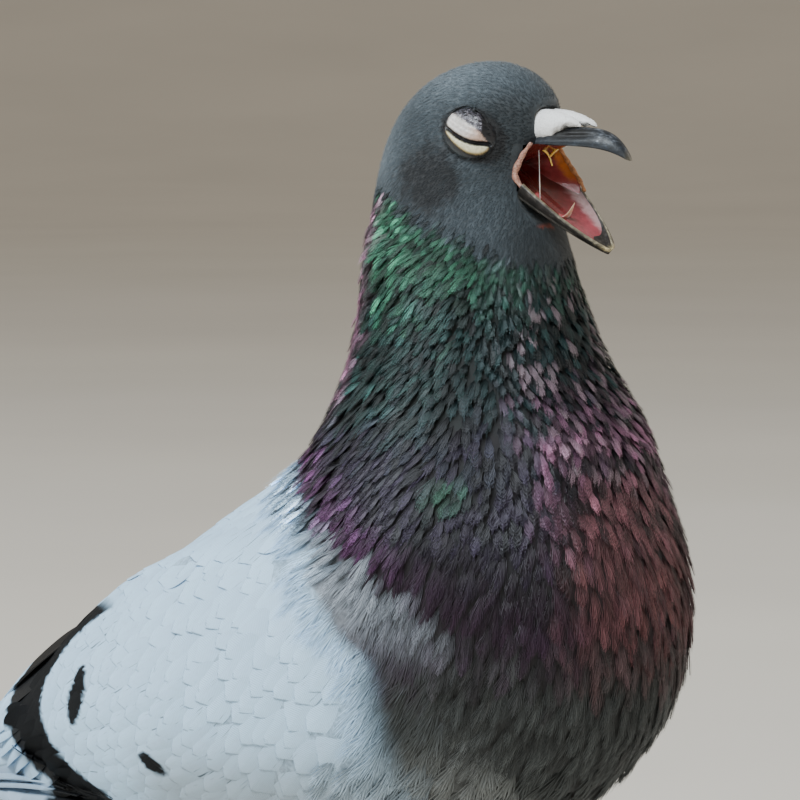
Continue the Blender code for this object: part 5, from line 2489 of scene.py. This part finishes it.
    def _tongue(self, turn: float, share: float) -> tuple:
        """The pointed tongue, its tip raised over the rim.

        Args:
            turn: share round it, from 0 to 1.
            share: share along it, from 0 to 1.

        Returns:
            A head place on it.
        """
        middle = spline(self.TONGUE, share)
        half = 2.3 * math.sqrt(max(0.0, 1 - share ** 1.5)) * min(1.0, share / 0.02) * (1.0 - 0.8 * share ** 3)
        thick = 0.85 * max(0.0, 1 - share ** 2) * min(1.0, share / 0.02)
        angle = turn * math.tau
        groove = 0.25 * math.exp(-((math.sin(angle) / 0.25) ** 2)) * (math.cos(angle) > 0)
        return middle[0], middle[1] + half * math.sin(angle), middle[2] + thick * (math.cos(angle) - groove)

    @staticmethod
    def _tongue_colour(places: Array) -> Array:
        """Rosy flesh that ends in a cream, horny point."""
        return layered(len(places), Tint.TONGUE, (Tint.TONGUE_TIP, smooth(26.0, 27.4, places[:, 0])))

    @staticmethod
    def _saliva_colour(places: Array) -> Array:
        """Clear and pale, but amber where the drops hang in the middle."""
        return layered(len(places), Tint.SALIVA, (Tint.AMBER, smooth(-4.0, -3.2, places[:, 1])))

    def build(self) -> None:
        """Makes the mouth's pieces."""
        wet = FleshFinish("Wet mouth lining", roughness=0.22, wet=0.7, grain=500.0, depth=0.1).make()
        dry = FleshFinish("Skin at the mouth's corners", roughness=0.5, wet=0.1, grain=1800.0,
                          depth=0.25).make()
        lining = self.piece("mouth_lining", [(96, 40, self._bag)], self._lining_colour, wet, "mouth_flesh")
        lining.data.flip_normals()
        self.piece("mouth_floor", [(48, 48, self._floor)], self._floor_colour, wet, "mouth_flesh")
        corners = [self._corner(side) for side in SIDES.values()]
        self.piece("mouth_corners", corners, self._corner_colour, dry, "mouth_flesh")
        tongue = [(24, 28, self._tongue)]
        self.piece("tongue_tip", tongue, self._tongue_colour, wet, "mouth_flesh", ("tongue",))
        thread = strand([(22.4, -4.6, -18.2), (22.6, -4.7, -22.0), (22.9, -4.9, -28.0)],
                        lambda share: 0.05 + 0.07 * math.exp(-(((share - 0.75) / 0.16) ** 2)))
        drops = [
            strand([(22.0, -2.6, -18.0), (22.6, -1.4, -19.2), (23.0, -0.6, -21.4)],
                   lambda share: 0.34 - 0.22 * share),
            strand([(23.4, 0.6, -18.0), (23.0, -0.6, -19.0), (22.8, -1.2, -19.6)],
                   lambda share: 0.32 - 0.12 * share),
        ]
        clear = FleshFinish("Saliva", roughness=0.08, wet=1.0, grain=300.0, depth=0.02, speckle=0.1,
                            subsurface=0.4).make()
        self.piece("saliva_threads", [thread, *drops], self._saliva_colour, clear, "mouth_flesh")


def wet_eye() -> Material:
    """The dark, wet ball under the lids."""
    nodes = Nodes("Wet eye")
    tone = nodes.ramp(nodes.noise(400.0), (0.3, srgb(16, 12, 12)), (0.7, srgb(40, 22, 16)))
    return nodes.settle(Base_Color=tone, Roughness=0.1, Coat_Weight=1.0, Coat_Roughness=0.03)


# ---- the studio


@dataclass
class Studio:
    """Camera, floor and soft daylight."""

    bird: Bird
    azimuth: float = -50.0
    elevation: float = 4.0
    lens: float = 250.0
    frame_width: float = 160.0
    aim_right: float = -11.4
    aim_up: float = -68.6

    SENSOR = 36.0
    FLAT = 5.0
    SWEEP = 7.0

    def direction(self) -> Array:
        """Unit vector from the bird to the camera."""
        turn, tilt = math.radians(self.azimuth), math.radians(self.elevation)
        return np.array(
            (math.sin(turn) * math.cos(tilt), -math.cos(turn) * math.cos(tilt), math.sin(tilt))
        )

    def build(self) -> None:
        """Sets up everything that isn't the bird."""
        self._camera()
        self._floor()
        self._lights()

    def _camera(self) -> None:
        """The camera at the given viewing angle, without depth of field."""
        away = self.direction()
        right = unit_of(np.cross((0.0, 0.0, 1.0), away))
        up = np.cross(away, right)
        aim = self.bird.origin + right * self.aim_right * MM + up * self.aim_up * MM
        distance = self.frame_width * MM * self.lens / self.SENSOR
        data = bpy.data.cameras.new("Studio camera")
        data.lens = self.lens
        data.sensor_width = self.SENSOR
        data.clip_start = 0.05
        data.clip_end = 60.0
        camera = bpy.data.objects.new("Studio camera", data)
        camera.location = aim + away * distance
        camera.rotation_euler = Vector(away).to_track_quat("Z", "Y").to_euler()
        bpy.context.scene.collection.objects.link(camera)
        bpy.context.scene.camera = camera

    def _floor(self) -> None:
        """A wide, plain floor whose far edge sweeps up into a low wall."""
        maker = bmesh.new()
        profile = [maker.verts.new((part, 0.0, 0.0)) for part in (0.0, 1.5, 3.5, self.FLAT)]
        for step in range(1, 13):
            turn = math.radians(step * 5.0)
            out, high = self.FLAT + self.SWEEP * math.sin(turn), self.SWEEP * (1.0 - math.cos(turn))
            profile.append(maker.verts.new((out, 0.0, high)))
        edges = [maker.edges.new(pair) for pair in zip(profile, profile[1:])]
        bmesh.ops.spin(maker, geom=profile + edges, axis=(0, 0, 1), cent=(0, 0, 0), angle=math.tau, steps=96,
                       use_merge=True)
        bmesh.ops.remove_doubles(maker, verts=maker.verts, dist=1e-4)
        bmesh.ops.recalc_face_normals(maker, faces=maker.faces)
        if maker.faces[:][0].normal.z < 0:
            bmesh.ops.reverse_faces(maker, faces=maker.faces)
        floor = bpy.data.objects.new("floor", to_mesh(maker, "floor"))
        floor.data.shade_smooth()
        nodes = Nodes("Plain floor")
        tone = nodes.ramp(nodes.noise(3.0), (0.3, srgb(217, 212, 203)), (0.7, srgb(223, 218, 209)))
        floor.data.materials.append(nodes.settle(Base_Color=tone, Roughness=0.9))
        bpy.context.scene.collection.objects.link(floor)

    def _lights(self) -> None:
        """A broad key light, a rim light from behind, a weak fill light and a pale sky."""
        self._area("Key light", (-1.5, -0.4, 1.9), 1.2, 72.0, (0.87, 0.95, 1.0))
        self._area("Rim light", (-0.9, 1.5, 1.5), 1.0, 26.0, (0.88, 0.95, 1.0))
        self._area("Fill light", (1.6, -0.9, 0.8), 1.4, 8.0, (1.0, 0.95, 0.90))
        world = bpy.data.worlds.new("Pale sky")
        world.use_nodes = True
        back = world.node_tree.nodes["Background"]
        back.inputs["Color"].default_value = (*srgb(170, 163, 152), 1.0)
        back.inputs["Strength"].default_value = 1.0
        bpy.context.scene.world = world

    @staticmethod
    def _area(name: str, place: tuple, size: float, power: float, colour: tuple) -> None:
        """One soft area light, aimed at the bird.

        Args:
            name: the light's name.
            place: where it hangs, in metres.
            size: its width in metres.
            power: its power in watts.
            colour: its linear colour.
        """
        data = bpy.data.lights.new(name, "AREA")
        data.shape = "DISK"
        data.size = size
        data.energy = power
        data.color = colour
        light = bpy.data.objects.new(name, data)
        light.location = place
        aim = Vector((0.0, -0.04, 0.13)) - Vector(place)
        light.rotation_euler = aim.to_track_quat("-Z", "Y").to_euler()
        bpy.context.scene.collection.objects.link(light)


def claw_horn() -> Material:
    """Dark grey claw horn, streaked lengthways and worn pale in places."""
    nodes = Nodes("Claw horn")
    streaks = nodes.noise(1100.0, 4.0, rough=0.6)
    tone = nodes.ramp(streaks, (0.3, srgb(40, 36, 38)), (0.55, srgb(62, 56, 56)), (0.8, srgb(112, 100, 92)))
    nodes.bump(streaks, 0.3, 0.1)
    return nodes.settle(Base_Color=tone, Roughness=0.35, Specular_IOR_Level=0.5)


def dress_solids() -> None:
    """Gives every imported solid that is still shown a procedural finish."""
    finishes = {"eye": wet_eye(), "claw": claw_horn()}
    for name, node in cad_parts.items():
        if not node.hide_render:
            kind = "eye" if name.startswith("eye") else "claw"
            node.data.materials.clear()
            node.data.materials.append(finishes[kind])
            LOG.info("%s: %s finish", name, kind)


def main() -> None:
    """Builds the bird, its plumage and the studio."""
    logging.basicConfig(level=logging.INFO, format="%(name)s: %(message)s")
    bird = Bird.read()
    plumage = Plumage(bird)
    skin = Skin(bird, plumage).build([DownFinish().make(), ScutedFinish().make()])
    lid_skin = FleshFinish("Lid skin", roughness=0.45, wet=0.15, grain=1600.0, depth=0.15,
                           subsurface=0.1).make()
    lids = [Lids(bird, side).build(lid_skin) for side in SIDES.values()]
    bill = Bill(bird)
    bill.build()
    Mouth(bird, bill).build()
    unwrap = Unwrap(bird)
    coat = Coat(bird, [skin, *lids], plumage, Lie(bird), unwrap)
    Dress(coat).build()
    Quills(bird, plumage, unwrap, coat.surface).build()
    dress_solids()
    Studio(bird).build()


if __name__ == "__main__":
    main()
